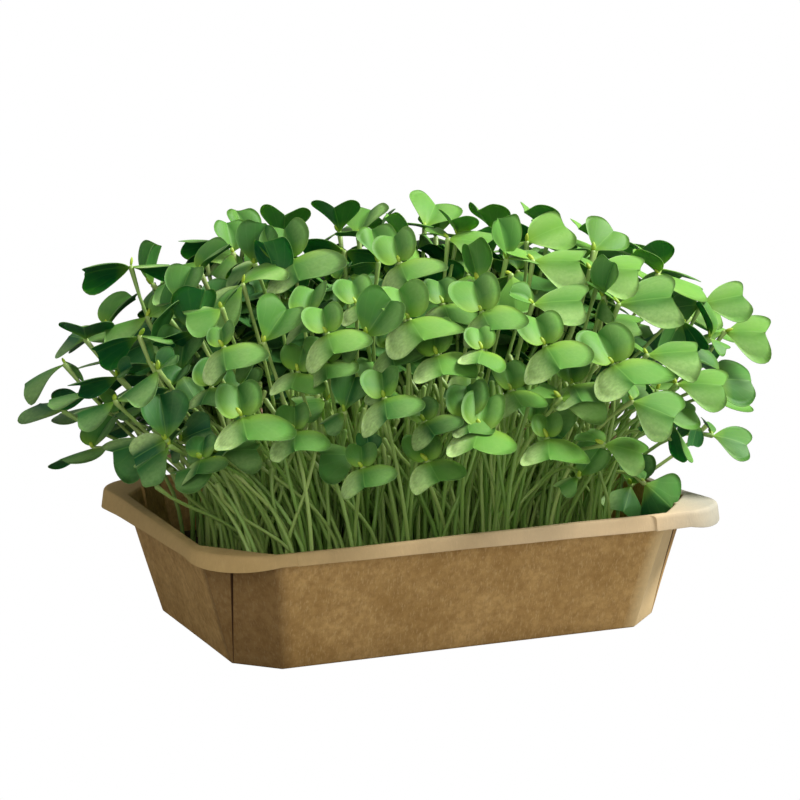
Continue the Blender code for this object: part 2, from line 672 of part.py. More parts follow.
def stem_path(root, head, heading):
    """A stem that leaves the soil upright and arrives along its head's direction."""
    reach = (head - root).length * STEM_BEND
    first = root + UP * reach
    last = head - heading * reach
    path = [root - UP * STEM_ROOT_DEPTH]
    for step in range(STEM_STEPS + 1):
        t = step / STEM_STEPS
        path.append(root * (1 - t) ** 3 + first * 3 * t * (1 - t) ** 2
                    + last * 3 * t * t * (1 - t) + head * t ** 3)
    return [path[0], *path[2:]]


def stem_rings(path, radius):
    """Three-sided rings along a path, in a frame that is carried from ring to ring."""
    rings = []
    across = None
    for index, point in enumerate(path[:-1]):
        along = (path[index + 1] - path[max(index - 1, 0)]).normalized()
        if across is None:
            across = along.cross(FRAME_START).normalized()
        across = (across - along * across.dot(along)).normalized()
        other = along.cross(across)
        angles = [2 * math.pi * side / STEM_SIDES for side in range(STEM_SIDES)]
        rings.append([point + (across * math.cos(angle) + other * math.sin(angle)) * radius
                      for angle in angles])
    return rings


def zipped(lower, upper, vertices):
    """Triangles between a ring of three points and a ring of four, turned to fit best."""
    best = None
    low_middle = sum((vertices[index] for index in lower), Vector()) / len(lower)
    high_middle = sum((vertices[index] for index in upper), Vector()) / len(upper)
    for turn in range(len(upper)):
        turned = upper[turn:] + upper[:turn]
        faces = []
        reach = 0
        low = 0
        high = 0
        for step in range(len(lower) + len(upper)):
            here, there = lower[low % len(lower)], turned[high % len(upper)]
            if step % 2:
                faces.append((here, lower[(low + 1) % len(lower)], there))
                low += 1
            else:
                faces.append((here, turned[(high + 1) % len(upper)], there))
                high += 1
            reach += ((vertices[here] - low_middle) - (vertices[there] - high_middle)).length
        if best is None or reach < best[0]:
            best = (reach, faces)
    return best[1]


def seedling_mesh(root, head, heading, poses, outline, extra):
    """Stem, two leaves and bud as one skin; an extra width thickens it for clearance tests."""
    vertices = []
    faces = []
    rings = []
    for ring in stem_rings(stem_path(root, head, heading), STEM_RADIUS + extra):
        rings.append(list(range(len(vertices), len(vertices) + len(ring))))
        vertices.extend(ring)
    faces.append(tuple(reversed(rings[0])))
    for lower, upper in zip(rings, rings[1:]):
        for side in range(STEM_SIDES):
            following = (side + 1) % STEM_SIDES
            faces.append((lower[side], lower[following], upper[following]))
            faces.append((lower[side], upper[following], upper[side]))
    top = []
    bottom = []
    count = len(outline)
    for pose in poses:
        first = len(vertices)
        vertices.extend(leaf_points(head, pose, outline, LEAF_THICKNESS + 2 * extra))
        faces.extend(leaf_faces(first, count))
        top.extend((first, first + count - 1))
        bottom.extend((first + count + 1, first + 2 * count))
    faces.extend(zipped(rings[-1], bottom, vertices))
    for here in (1, 3):
        following = (here + 1) % 4
        faces.append((bottom[here], bottom[following], top[following]))
        faces.append((bottom[here], top[following], top[here]))
    vertices.append(head + heading * (BUD_HEIGHT + extra))
    for here in range(4):
        faces.append((top[here], top[(here + 1) % 4], len(vertices) - 1))
    return vertices, faces


def is_sound(vertices, faces):
    """True for a closed skin in which no two faces that share no point cut each other."""
    edges = [(face[index - 1], face[index]) for face in faces for index in range(len(face))]
    known = set(edges)
    if len(known) != len(edges) or any((end, start) not in known for start, end in edges):
        return False
    tree = BVHTree.FromPolygons(vertices, faces)
    return all(set(faces[one]) & set(faces[other]) for one, other in tree.overlap(tree))


# Stand of seedlings

def wanted_heads():
    """Every head seen in the front view: its place, line of sight, poses of leaves and outline."""
    toward = view_axes()[2]
    heads = []
    for across, up, behind, turn, tilt, back_size, front_size in FACING_HEADS:
        place = (across * MM, up * MM, dome_depth(across * MM, up * MM) + behind * MM)
        poses = facing_pair(toward, math.radians(turn), math.radians(tilt), back_size, front_size)
        heads.append((seen_at(*place), -toward, poses, LEAF_OUTLINE))
    for across, up, behind, *leaves in AIMED_HEADS:
        place = (across * MM, up * MM, dome_depth(across * MM, up * MM) + behind * MM)
        poses = [aimed_leaf(*(math.radians(value) for value in leaf[:3]), leaf[3]) for leaf in leaves]
        heads.append((seen_at(*place), -toward, poses, SIDE_OUTLINE))
    return heads


def back_heads(heads, draw):
    """Heads on the far side of the dome, spread evenly and facing outward."""
    toward = view_axes()[2]
    places = [head[0] for head in heads]
    made = []
    for _ in range(BACK_DRAWS):
        if len(made) == BACK_HEADS:
            break
        around = draw.uniform(0, 2 * math.pi)
        lift = draw.uniform(BACK_LOWEST, 1)
        flat = (1 - abs(lift) ** DOME_POWER) ** (1 / DOME_POWER)
        rise = DOME_RISE if lift > 0 else DOME_FALL
        place = Vector((math.cos(around) * DOME_HALF[0] * flat, math.sin(around) * DOME_HALF[1] * flat,
                        DOME_WAIST + lift * rise))
        if dome_normal(place).dot(toward) > BACK_FACING_MOST:
            continue
        if min((place - other).length for other in places) < BACK_SPACING:
            continue
        places.append(place)
        out = Vector((place.x * BACK_OUT_SHARE, place.y, 0))
        poses = facing_pair(out, draw.uniform(-BACK_TURN, BACK_TURN), draw.uniform(-BACK_TILT, BACK_TILT),
                            draw.uniform(*BACK_LEAF_SIZES), draw.uniform(*FRONT_LEAF_SIZES))
        made.append((place, -out.normalized(), poses, PLAIN_OUTLINE))
    return made


def opened(poses, amount):
    """The second leaf turned away from the first, until they stand clear of each other."""
    first, (midrib, face, size) = poses
    midrib = (midrib - first[0] * amount).normalized()
    return [first, (midrib, (face - midrib * face.dot(midrib)).normalized(), size)]


def swung(head, poses, angle):
    """The second leaf turned around the stem."""
    first, (midrib, face, size) = poses
    turn = Matrix.Rotation(angle, 3, stem_direction(head))
    return [first, (turn @ midrib, turn @ face, size)]


def stem_direction(head):
    """Upward in the middle of the dome, and more and more outward to its edge."""
    return (dome_normal(head) * DOME_LEAN + UP * DOME_UP).normalized()


def mirrored(head, poses):
    """The second leaf as the first one's counterpart on the other side of the stem."""
    axis = stem_direction(head)
    midrib = axis * 2 * axis.dot(poses[0][0]) - poses[0][0]
    face = axis - midrib * axis.dot(midrib)
    return [poses[0], (midrib, face.normalized(), poses[1][2])]


def heading_of(head, poses, wobble):
    """The stem's last direction: between the two leaves' faces, and outward from the dome."""
    return (poses[0][1] + poses[1][1] + stem_direction(head) * STEM_PULL + wobble).normalized()


def self_clear(root, head, poses, outline):
    """The pair of leaves opened as little as leaves them clear of each other and of the stem."""
    for start in (poses, mirrored(head, poses)):
        for step in range(OPENING_STEPS):
            tried = opened(start, step * OPENING_STEP)
            heading = heading_of(head, tried, Vector((0, 0, 0)))
            if is_sound(*seedling_mesh(root, head, heading, tried, outline, 0)):
                return tried
    return None


def grow_stand(around, places):
    """Finds for each head a plug and a free way up, and returns the seedlings plug by plug."""
    draw = random.Random(SEED)
    heads = wanted_heads()
    heads += back_heads(heads, draw)
    taken = [[] for _ in places]
    standing = [BVHTree.FromPolygons(*shape) for shape in around]
    for place, away, wanted, outline in heads:
        for attempt in range(ATTEMPTS):
            reach = attempt / ATTEMPTS
            slide = HEAD_SLIDE[0] + HEAD_SLIDE[1] * reach
            head = place + away * (draw.uniform(-NEARER_SHARE, 1) * slide if attempt else 0)
            wobble = Vector((draw.uniform(-1, 1), draw.uniform(-1, 1), draw.uniform(-WANDER_RISE, WANDER_RISE)))
            wobble *= reach
            aim = Vector((head.x * ROOT_SHARE[0], head.y * ROOT_SHARE[1], SOIL_TOP)) + wobble * ROOT_WANDER
            free = [index for index in range(len(places)) if len(taken[index]) < MOST_PER_PLUG]
            plug = min(free, key=lambda index: (places[index] - aim).xy.length)
            angle = 2 * math.pi * len(taken[plug]) / MOST_PER_PLUG + plug
            root = places[plug] + Vector((math.cos(angle), math.sin(angle), 0)) * ROOT_RING
            swing = draw.uniform(-1, 1) * reach * LEAF_SWING
            poses = self_clear(root, head, swung(head, wanted, swing), outline)
            if poses is None:
                continue
            heading = heading_of(head, poses, wobble * HEADING_WANDER)
            shrink = 1 - SHRINK_RATE * max(reach - SHRINK_AFTER, 0)
            poses = [(midrib, face, size * shrink) for midrib, face, size in poses]
            seedling = (root, head, heading, poses, outline)
            tree = BVHTree.FromPolygons(*seedling_mesh(*seedling, CLEARANCE / 2))
            if any(tree.overlap(other) for other in standing):
                continue
            if is_sound(*seedling_mesh(*seedling, 0)):
                standing.append(tree)
                taken[plug].append(seedling)
                break
    return taken


def build_tuft(name, place, seedlings, material):
    """One root plug with its seedlings, joined into a single body."""
    tuft = new_object(name, *plug_mesh(place, 0), material)
    pieces = [new_object("seedling", *seedling_mesh(*seedling, 0)) for seedling in seedlings]
    combine(tuft, pieces, "UNION")
    tuft.data.materials.clear()
    tuft.data.materials.append(material)
    triangulate(tuft)
    return tuft


def main():
    for old in list(bpy.data.objects):
        bpy.data.objects.remove(old)
    board = new_material("brown_board", (0.27, 0.16, 0.06), 0.85)
    medium = new_material("growing_medium", (0.03, 0.02, 0.01), 0.95)
    green = new_material("sprout_green", (0.12, 0.30, 0.06), 0.5)
    tray = build_tray(board)
    places = plug_places()
    soil = build_soil(medium, places)
    around = [([vertex.co.copy() for vertex in thing.data.vertices],
               [tuple(face.vertices) for face in thing.data.polygons]) for thing in (tray, soil)]
    taken = grow_stand(around, places)
    for index, (place, seedlings) in enumerate(zip(places, taken)):
        if seedlings:
            build_tuft(f"sprout_tuft_{index + 1:02d}", place, seedlings, green)


main()
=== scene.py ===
"""Looks of the microgreens tray: fine seedlings, pressed board, crumbly growing medium, studio.

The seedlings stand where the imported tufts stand: the same seeded search places them again, and each tuft's
finer piece takes its node's place. Metres, +Z up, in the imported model's frame.
"""
import json
import math
import random

import bmesh
import bpy
import numpy as np
from mathutils import Matrix, Vector, noise
from mathutils.bvhtree import BVHTree

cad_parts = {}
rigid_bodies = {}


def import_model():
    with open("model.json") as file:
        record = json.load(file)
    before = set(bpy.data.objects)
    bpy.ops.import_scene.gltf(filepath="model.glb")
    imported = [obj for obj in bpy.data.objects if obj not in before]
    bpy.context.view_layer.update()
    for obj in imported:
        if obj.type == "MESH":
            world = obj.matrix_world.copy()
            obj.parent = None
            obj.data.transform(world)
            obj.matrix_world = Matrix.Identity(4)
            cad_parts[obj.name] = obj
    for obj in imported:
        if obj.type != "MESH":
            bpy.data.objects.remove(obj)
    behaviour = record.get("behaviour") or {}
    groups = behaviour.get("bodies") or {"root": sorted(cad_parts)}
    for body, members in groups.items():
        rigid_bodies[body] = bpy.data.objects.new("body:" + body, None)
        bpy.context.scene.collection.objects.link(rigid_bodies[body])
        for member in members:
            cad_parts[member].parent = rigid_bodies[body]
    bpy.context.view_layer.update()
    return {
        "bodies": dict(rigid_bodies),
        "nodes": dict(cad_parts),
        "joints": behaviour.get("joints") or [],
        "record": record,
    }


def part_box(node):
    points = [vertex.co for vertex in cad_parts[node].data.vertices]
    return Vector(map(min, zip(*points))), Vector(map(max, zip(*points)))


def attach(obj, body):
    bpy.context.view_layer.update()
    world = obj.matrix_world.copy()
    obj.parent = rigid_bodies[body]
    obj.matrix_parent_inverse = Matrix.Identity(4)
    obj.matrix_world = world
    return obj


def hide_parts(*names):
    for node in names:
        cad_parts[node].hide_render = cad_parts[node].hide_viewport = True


MM = 0.001
UP = Vector((0, 0, 1))

# Slab of growing medium
SOIL_TOP = 22.0 * MM
# Root plugs, one for each tuft
PLUG_COLUMNS = 9
PLUG_ROWS = 6
PLUG_PITCH = (16.6 * MM, 15.4 * MM)
PLUG_SIDES = 6
PLUG_TOP_RADIUS = 4.4 * MM
PLUG_FOOT_RADIUS = 3.7 * MM
PLUG_DEPTH = 5.0 * MM
PLUG_PROUD = 0.9 * MM
POCKET_ABOVE = 2.0 * MM
ROOT_RING = 2.1 * MM
MOST_PER_PLUG = 3

# Seedlings
STEM_RADIUS = 0.85 * MM
STEM_SIDES = 3
STEM_STEPS = 3
STEM_ROOT_DEPTH = 3.5 * MM
STEM_BEND = 0.42
LEAF_THICKNESS = 0.75 * MM
LEAF_LENGTH = 13.6 * MM
LEAF_HALF_WIDTH = 11.0 * MM
LEAF_OFFSET = 0.55 * MM
BUD_HEIGHT = 3.4 * MM
CLEARANCE = 0.35 * MM
FRAME_START = Vector((1, 0.3, 0))

# Front view: where the eye is, and the dome on which the heads sit
VIEW_TURN = math.radians(-22.82)
VIEW_LIFT = math.radians(12.72)
VIEW_DISTANCE = 1229.0 * MM
VIEW_CENTRE = Vector((0.2, 6.3, 69.7)) * MM
DOME_HALF = (110.0 * MM, 71.0 * MM)
DOME_WAIST = 74.0 * MM
DOME_RISE = 50.0 * MM
DOME_FALL = 30.0 * MM
DOME_POWER = 2.4
DOME_DEPTH_STEPS = 110

# Heads on the far side and the top, placed by a seeded draw
SEED = 7
BACK_HEADS = 52
BACK_DRAWS = 6000
BACK_SPACING = 16.0 * MM
BACK_FACING_MOST = 0.27
BACK_LOWEST = -0.35
BACK_OUT_SHARE = 0.6
BACK_TURN = math.radians(45)
BACK_TILT = math.radians(15)
BACK_LEAF_SIZES = (0.75, 1.0)
FRONT_LEAF_SIZES = (0.9, 1.15)
LEAF_RISE = math.radians(50)
LEAF_SINK = math.radians(-11)

# Search for a free way from a plug up to each head
ATTEMPTS = 320
OPENING_STEP = 0.2
OPENING_STEPS = 5
ROOT_SHARE = (0.62, 0.56)
ROOT_WANDER = 16 * MM
HEAD_SLIDE = (0.4 * MM, 34 * MM)
NEARER_SHARE = 0.35
LEAF_SWING = math.radians(70)
HEADING_WANDER = 0.8
WANDER_RISE = 0.3
SHRINK_AFTER = 0.4
SHRINK_RATE = 0.55
DOME_LEAN = 0.9
DOME_UP = 0.25
STEM_PULL = 3.2

# Heads that face the viewer, in millimetres and degrees as read from the front view:
# across, up, further back, turn of the pair, tilt of its right side, size of back leaf, size of front leaf
FACING_HEADS = (
    (0, 44.3, 0, 6, 22, 0.80, 1.05),
    (3, 26, 0, 14, 18, 0.92, 1.10),
    (26.5, 28.5, 0, 8, 22, 0.92, 1.05),
    (-23.5, 21.5, 0, 5, 22, 0.75, 1.00),
    (12, 14.5, 0, 6, 12, 0.80, 0.92),
    (26.5, 16, 2, 8, 8, 0.70, 0.80),
    (-5, 0.5, 0, 0, 18, 0.75, 1.00),
    (8, -7, 6, 12, 16, 0.62, 0.80),
    (26, -9, 0, -12, -8, 0.85, 1.05),
    (9, -20, 0, 15, 22, 0.80, 0.95),
    (-51, -5.5, 0, 5, 18, 0.85, 1.10),
    (47, 17.5, 0, 12, 18, 0.85, 1.10),
    (69, 11.5, 0, 22, 20, 1.00, 1.10),
    (-34, -10, 6, 0, 5, 0.65, 0.85),
    (-7, 4, 14, 10, 5, 0.75, 0.60),
    (-12, -22, 3, 0, 14, 0.60, 0.85),
    (48, -12.5, 5, 0, 5, 0.60, 0.95),
    (-57, 17, 0, 0, 22, 0.55, 1.05),
    (-52, 1.5, 10, -10, 0, 0.80, 0.70),
    (-61, 4, 14, -20, 0, 0.75, 0.70),
    (-14, 31, 4, 10, 5, 0.72, 0.65),
    (-29.5, 27.5, 3, -15, 16, 0.78, 0.85),
    (22, -5.5, 3, 0, 5, 0.85, 0.65),
    (22, 9, 13, 0, 0, 0.60, 0.80),
    (-3, 17, 8, -15, 12, 0.60, 0.85),
    (14, 31, 12, 10, 5, 0.70, 0.80),
    (-24, 12, 8, 0, 14, 0.70, 0.80),
    (36, 3, 12, 15, 5, 0.75, 0.80),
    (-64, -19, 2, -10, 14, 0.60, 0.80),
    (-33, 9, 10, -10, 0, 0.70, 0.80),
    (56, 5, 10, 10, 5, 0.75, 0.85),
    (-35, 45.5, 0, 5, 26, 0.95, 1.10),
)

# Heads at the sides and the top: across, up, further back, then for each of the two leaves its
# direction in the view, how far it points at the viewer, how far its upper face turns to the viewer
# from lying edge on (a leaf turned the other way shows its underside), and its size
AIMED_HEADS = (
    (79, -27, 9, (318, -15, 60, 1.05), (120, -55, 40, 0.45)),
    (-87, 43, 0, (178, 0, -27, 1.00), (8, -5, -24, 0.90)),
    (-80.5, 37.5, 4, (84, 0, 13, 0.90), (262, -35, 20, 0.55)),
    (-63, 45, 0, (182, 10, 20, 1.00), (20, -45, 15, 0.75)),
    (-57, 51, 6, (170, 0, -25, 0.95), (70, -45, 15, 0.60)),
    (-54, 47.5, 2, (100, -20, 60, 0.75), (215, 30, 35, 0.70)),
    (-50.5, 50.5, 8, (96, -10, 45, 0.75), (300, -40, 20, 0.60)),
    (-47, 44, 5, (78, 0, 60, 0.90), (200, -30, 20, 0.70)),
    (-71, 31.5, 6, (75, -15, 65, 0.90), (174, 0, -24, 1.00)),
    (-75, 26, 4, (75, 10, 30, 0.80), (225, 10, 30, 0.60)),
    (-83, 27, 0, (186, 10, 8, 1.00), (28, -15, 35, 0.85)),
    (-101.5, 19.5, 0, (85, 56, -90, 1.00), (268, 10, 12, 0.80)),
    (-84, 20.5, 0, (192, 0, -22, 0.95), (8, -10, -22, 0.70)),
    (-109, 11.5, 0, (196, 5, 4, 0.95), (335, -60, 20, 0.50)),
    (-91, 7.5, 4, (188, -10, -30, 1.00), (100, -30, 40, 0.50)),
    (-99, 3, 2, (186, 0, -4, 1.00), (330, -30, 30, 0.55)),
    (-92, -0.5, 3, (192, 10, 12, 0.85), (25, -40, 20, 0.60)),
    (-78, 9.5, 0, (210, 20, 12, 1.10), (150, -40, 30, 0.60)),
    (-72, 8, 5, (86, -20, 75, 1.00), (300, 20, 40, 0.60)),
    (-81, 11.5, 8, (176, -5, -25, 0.85), (15, -20, -20, 0.75)),
    (-74, 3.5, 10, (176, -10, -20, 0.60), (45, -20, 50, 0.75)),
    (-83, -1.5, 3, (187, 10, 0, 0.95), (35, -40, 30, 0.60)),
    (-75.5, -13, 0, (98, -20, 78, 1.00), (160, -15, 55, 0.85)),
    (-72, -13.5, -3, (35, 20, 45, 0.95), (250, -10, 30, 0.50)),
    (-79.5, -13, -4, (188, 25, 30, 1.20), (130, -50, 25, 0.55)),
    (-74.5, -15, -2, (210, 15, 32, 0.85), (60, -50, 20, 0.50)),
    (-59, -20.5, 0, (188, 10, 20, 0.95), (60, -50, 20, 0.50)),
    (-59, -17, 4, (8, 0, 22, 0.85), (170, -30, 30, 0.60)),
    (-66, 22, 10, (85, -10, -60, 0.95), (200, 0, -30, 0.90)),
    (-44, 18.5, 3, (58, -20, 70, 0.95), (215, -10, 15, 0.80)),
    (-57.5, 29.5, 5, (186, 10, 30, 0.80), (60, -45, 20, 0.60)),
    (-51, 37.5, 2, (215, 20, 40, 1.00), (30, -20, 12, 0.90)),
    (-40, 38, 12, (100, -20, -60, 0.90), (20, -30, -30, 0.80)),
    (-37.5, 50, 4, (88, 30, -85, 1.00), (108, -55, 60, 0.95)),
    (-19.5, 54, 4, (97, 30, -82, 0.95), (78, -55, 60, 0.95)),
    (-13.5, 53, 8, (68, -48, 50, 0.95), (185, -10, -30, 0.60)),
    (-18, 48, 12, (180, -10, -45, 0.85), (0, -10, -45, 0.80)),
    (-7, 44.5, 12, (98, -15, 60, 0.80), (190, -20, -30, 0.60)),
    (1, 49.5, 8, (112, -10, -20, 0.75), (320, -20, 30, 0.60)),
    (8, 55.5, 0, (61, -48, 85, 1.00), (170, -20, -60, 0.55)),
    (15.5, 52, 4, (0, 10, 18, 0.95), (140, -45, 20, 0.50)),
    (30, 47, 8, (112, -10, -35, 0.85), (20, -30, -20, 0.60)),
    (25, 38.5, 12, (98, -20, -50, 0.85), (200, -20, 20, 0.70)),
    (34.5, 45.5, 2, (97, 5, 45, 0.90), (18, -20, 8, 0.75)),
    (41, 51, 5, (28, -10, 35, 0.95), (190, -30, 10, 0.50)),
    (43, 45, 0, (4, 10, 22, 1.05), (140, -50, 20, 0.55)),
    (62.5, 48, 6, (42, -35, 60, 0.85), (160, -10, -35, 0.65)),
    (61.5, 42, 0, (10, 10, 25, 1.05), (135, -45, 20, 0.50)),
    (66, 33.5, 5, (82, 10, 50, 0.80), (250, 10, 30, 0.50)),
    (64, 37.5, 9, (160, -20, -50, 0.75), (20, -30, 20, 0.60)),
    (43, 31, 0, (10, 10, 22, 1.10), (310, 30, 30, 0.55)),
    (36, 40.5, 3, (283, 20, 50, 0.80), (350, -10, 10, 0.85)),
    (71, 31, 0, (14, 10, 25, 1.20), (130, -50, 20, 0.70)),
    (65.5, 27, 4, (4, 10, 12, 1.05), (150, -45, 20, 0.55)),
    (97.5, 31, 0, (14, -5, 25, 1.00), (182, 0, -60, 0.62)),
    (100, 20, 4, (97, 0, 15, 0.85), (200, 30, -40, 0.45)),
    (91, 26, 6, (240, 10, -50, 0.75), (312, 0, -40, 0.80)),
    (105, 22, 0, (5, 5, 28, 0.95), (190, -20, 10, 0.50)),
    (80, 14.5, 4, (8, 0, 20, 1.10), (140, -45, 20, 0.60)),
    (89.5, 5, 0, (8, 10, 28, 1.05), (60, -45, 30, 0.55)),
    (84, 3, 5, (160, 10, 25, 0.80), (20, -50, 20, 0.50)),
    (75, -0.5, 0, (345, 20, 35, 1.00), (110, -45, 30, 0.60)),
    (83, -2, 5, (356, -10, 18, 0.95), (100, -50, 20, 0.50)),
    (88, -12.5, 3, (140, 15, -70, 0.70), (75, -10, -20, 0.40)),
    (87, -6.5, 6, (308, 5, -20, 0.95), (150, -50, 20, 0.40)),
    (96.5, -7.5, 4, (250, 5, -40, 0.50), (190, 0, -50, 0.45)),
    (101, -11.5, 0, (352, 5, 28, 0.85), (110, -50, 20, 0.45)),
    (66, -14.5, 3, (355, 15, 25, 0.90), (140, -40, 20, 0.55)),
    (58, -25, 2, (60, 0, 60, 0.80), (200, 20, 30, 0.50)),
    (76, -28, 1, (74, -15, 78, 0.95), (200, 35, 45, 0.95)),
    (44.5, -8, 0, (88, -25, 80, 1.00), (356, 28, 38, 1.00)),
    (52, 0.5, 8, (8, 0, 20, 0.95), (150, -30, 30, 0.60)),
    (-24.5, -0.5, 0, (176, 15, 25, 0.95), (60, -50, 30, 0.55)),
    (-14, -18.5, -2, (168, 20, 28, 1.00), (60, -50, 30, 0.50)),
    (-10, -19.5, 5, (95, -10, 80, 0.65), (250, -20, 30, 0.50)),
    (-18, -4, 6, (76, -15, 70, 0.85), (230, 20, 30, 0.55)),
    (-11, 20.5, 5, (58, -5, 65, 1.00), (200, -30, 30, 0.60)),
)


def plug_places():
    """Middle points of the root plugs, in staggered rows."""
    places = []
    for row in range(PLUG_ROWS):
        columns = PLUG_COLUMNS - row % 2
        for column in range(columns):
            x = (column - (columns - 1) / 2) * PLUG_PITCH[0]
            y = (row - (PLUG_ROWS - 1) / 2) * PLUG_PITCH[1]
            places.append(Vector((x, y, SOIL_TOP)))
    return places


def inner_half(height):
    """Half-lengths of the tray's inside at a height."""
    share = height / TRAY_HEIGHT
    return [FLOOR_HALF[axis] - BOARD + (MOUTH_HALF[axis] - FLOOR_HALF[axis]) * share for axis in (0, 1)]


def on_slab(u, v, height, margin):
    """A point of the slab from its shares of the half-lengths, kept inside the cut corners."""
    half = [value - margin for value in inner_half(height)]
    share = height / TRAY_HEIGHT
    cut = [(FLOOR_CHAMFER[axis] + (MOUTH_CHAMFER[axis] - FLOOR_CHAMFER[axis]) * share) / half[axis]
           for axis in (0, 1)]
    limit = cut[0] + cut[1] - cut[0] * cut[1]
    reach = abs(u) * cut[1] + abs(v) * cut[0]
    pull = min(1, limit / reach) if reach else 1
    point = Vector((u * half[0] * pull, v * half[1] * pull, height))
    point.x -= max(u, 0) * PINCH * share * pinch_share(point.y)
    return point


# Front view

def view_axes():
    """Directions to the right, up, and towards the viewer in the front view."""
    right = Vector((math.cos(VIEW_TURN), math.sin(VIEW_TURN), 0))
    lifted = math.cos(VIEW_LIFT)
    toward = Vector((math.sin(VIEW_TURN) * lifted, -math.cos(VIEW_TURN) * lifted, math.sin(VIEW_LIFT)))
    return right, toward.cross(right), toward


def seen_at(across, up, depth):
    """The point behind a place in the front view, at a depth from the view's centre."""
    right, upward, toward = view_axes()
    spread = 1 + depth / VIEW_DISTANCE
    return VIEW_CENTRE + (right * across + upward * up) * spread - toward * depth


def dome_value(point):
    """Below 1 inside the dome of heads, above 1 outside it."""
    flat = (point.x / DOME_HALF[0]) ** 2 + (point.y / DOME_HALF[1]) ** 2
    reach = DOME_RISE if point.z > DOME_WAIST else DOME_FALL
    return flat ** (DOME_POWER / 2) + (abs(point.z - DOME_WAIST) / reach) ** DOME_POWER


def dome_depth(across, up):
    """Depth at which the line of sight enters the dome, or passes closest to it."""
    best = None
    for step in range(-DOME_DEPTH_STEPS, DOME_DEPTH_STEPS + 1):
        value = dome_value(seen_at(across, up, step * MM))
        if value < 1:
            return step * MM
        if best is None or value < best[0]:
            best = (value, step * MM)
    return best[1]


def dome_normal(point):
    """Direction straight out of the dome at a point."""
    steps = [Vector([MM if axis == other else 0 for other in range(3)]) for axis in range(3)]
    return Vector([dome_value(point + step) - dome_value(point - step) for step in steps]).normalized()


# Poses of leaves: direction of the midrib, direction of the upper face, size

def facing_pair(out, turn, tilt, back_size, front_size):
    """A back leaf that rises and a front leaf that droops, along the outward direction."""
    flat_out = Vector((out.x, out.y, 0)).normalized()
    heading = Matrix.Rotation(turn, 3, "Z") @ flat_out
    poses = []
    for direction, rise, size in ((-heading, LEAF_RISE, back_size), (heading, LEAF_SINK, front_size)):
        midrib = direction * math.cos(rise) + UP * math.sin(rise)
        face = direction * -math.sin(rise) + UP * math.cos(rise)
        face = Matrix.Rotation(tilt, 3, heading) @ face
        midrib = Matrix.Rotation(tilt / 2, 3, heading) @ midrib
        poses.append((midrib, (face - midrib * face.dot(midrib)).normalized(), size))
    return poses


def aimed_leaf(direction, at_viewer, turned, size):
    """A leaf that points along a direction of the front view."""
    right, _, toward = view_axes()
    level_toward = Vector((toward.x, toward.y, 0)).normalized()
    in_view = right * math.cos(direction) + UP * math.sin(direction)
    beside = UP * math.cos(direction) - right * math.sin(direction)
    if beside.z < 0:
        beside.negate()
    midrib = in_view * math.cos(at_viewer) + level_toward * math.sin(at_viewer)
    to_viewer = level_toward * math.cos(at_viewer) - in_view * math.sin(at_viewer)
    return midrib, beside * math.cos(turned) + to_viewer * math.sin(turned), size


# Shape of one seedling

LEAF_OUTLINE = (
    (0.0, -0.07), (-0.06, -0.58), (0.44, -1.03), (0.97, -0.64), (0.80, 0.0),
    (0.97, 0.64), (0.44, 1.03), (-0.06, 0.58), (0.0, 0.07),
)
SIDE_OUTLINE = (
    (0.0, -0.07), (0.26, -0.58), (0.74, -1.0), (1.06, -0.62), (0.88, 0.0),
    (1.06, 0.62), (0.74, 1.0), (0.26, 0.58), (0.0, 0.07),
)
PLAIN_OUTLINE = (
    (0.0, -0.07), (0.16, -0.96), (0.98, -0.70), (0.82, 0.0), (0.98, 0.70), (0.16, 0.96), (0.0, 0.07),
)
LEAF_HEART = (0.42, 0.0)
LEAF_FOLD = 4.6 * MM
FOLD_DOWN = -0.3
FOLD_UP = 1.1
FOLD_TURNS_FROM = 0.35
FOLD_TURNS_OVER = 0.35
FOLDED_NARROWER = 0.28
LEAF_CURL = 1.3 * MM
LEAF_DROOP = 2.8 * MM


def rising_of(midrib):
    """How far a leaf is one that rises, from not at all to wholly."""
    return min(max((midrib.z - FOLD_TURNS_FROM) / FOLD_TURNS_OVER, 0), 1)


def fold_of(midrib):
    """A leaf that rises is folded up along its midrib, and one that hangs out is folded down."""
    return FOLD_DOWN + (FOLD_UP - FOLD_DOWN) * rising_of(midrib)


def half_width_of(midrib):
    """A leaf that rises is narrower, because its two halves are folded together."""
    return LEAF_HALF_WIDTH * (1 - FOLDED_NARROWER * rising_of(midrib))


def leaf_height(along, aside, fold):
    """The blade is folded at its midrib, curls down at its edges and droops at its tip."""
    return LEAF_FOLD * fold * aside ** 0.8 - LEAF_CURL * aside ** 3 - LEAF_DROOP * along ** 2


def leaf_points(head, pose, outline, thickness):
    """Points of a notched blade: its upper face, then the same points on its lower face."""
    midrib, face, size = pose
    side = face.cross(midrib)
    fold = fold_of(midrib)
    half_width = half_width_of(midrib)
    start = head + midrib * LEAF_OFFSET
    points = []
    for lift in (0.5, -0.5):
        for along, aside in (*outline, LEAF_HEART):
            height = leaf_height(along, abs(aside), fold) * size + lift * thickness
            points.append(start + midrib * along * LEAF_LENGTH * size
                          + side * aside * half_width * size + face * height)
    return points


def leaf_faces(first, count):
    """Both faces of a blade split alike, and its edge, open where it meets the stem."""
    below = count + 1
    faces = []
    for step in range(count):
        following = (step + 1) % count
        faces.append((count, step, following))
        faces.append((below + count, below + following, below + step))
        if following:
            faces.append((step, below + step, below + following))
            faces.append((step, below + following, following))
    return [tuple(first + index for index in face) for face in faces]


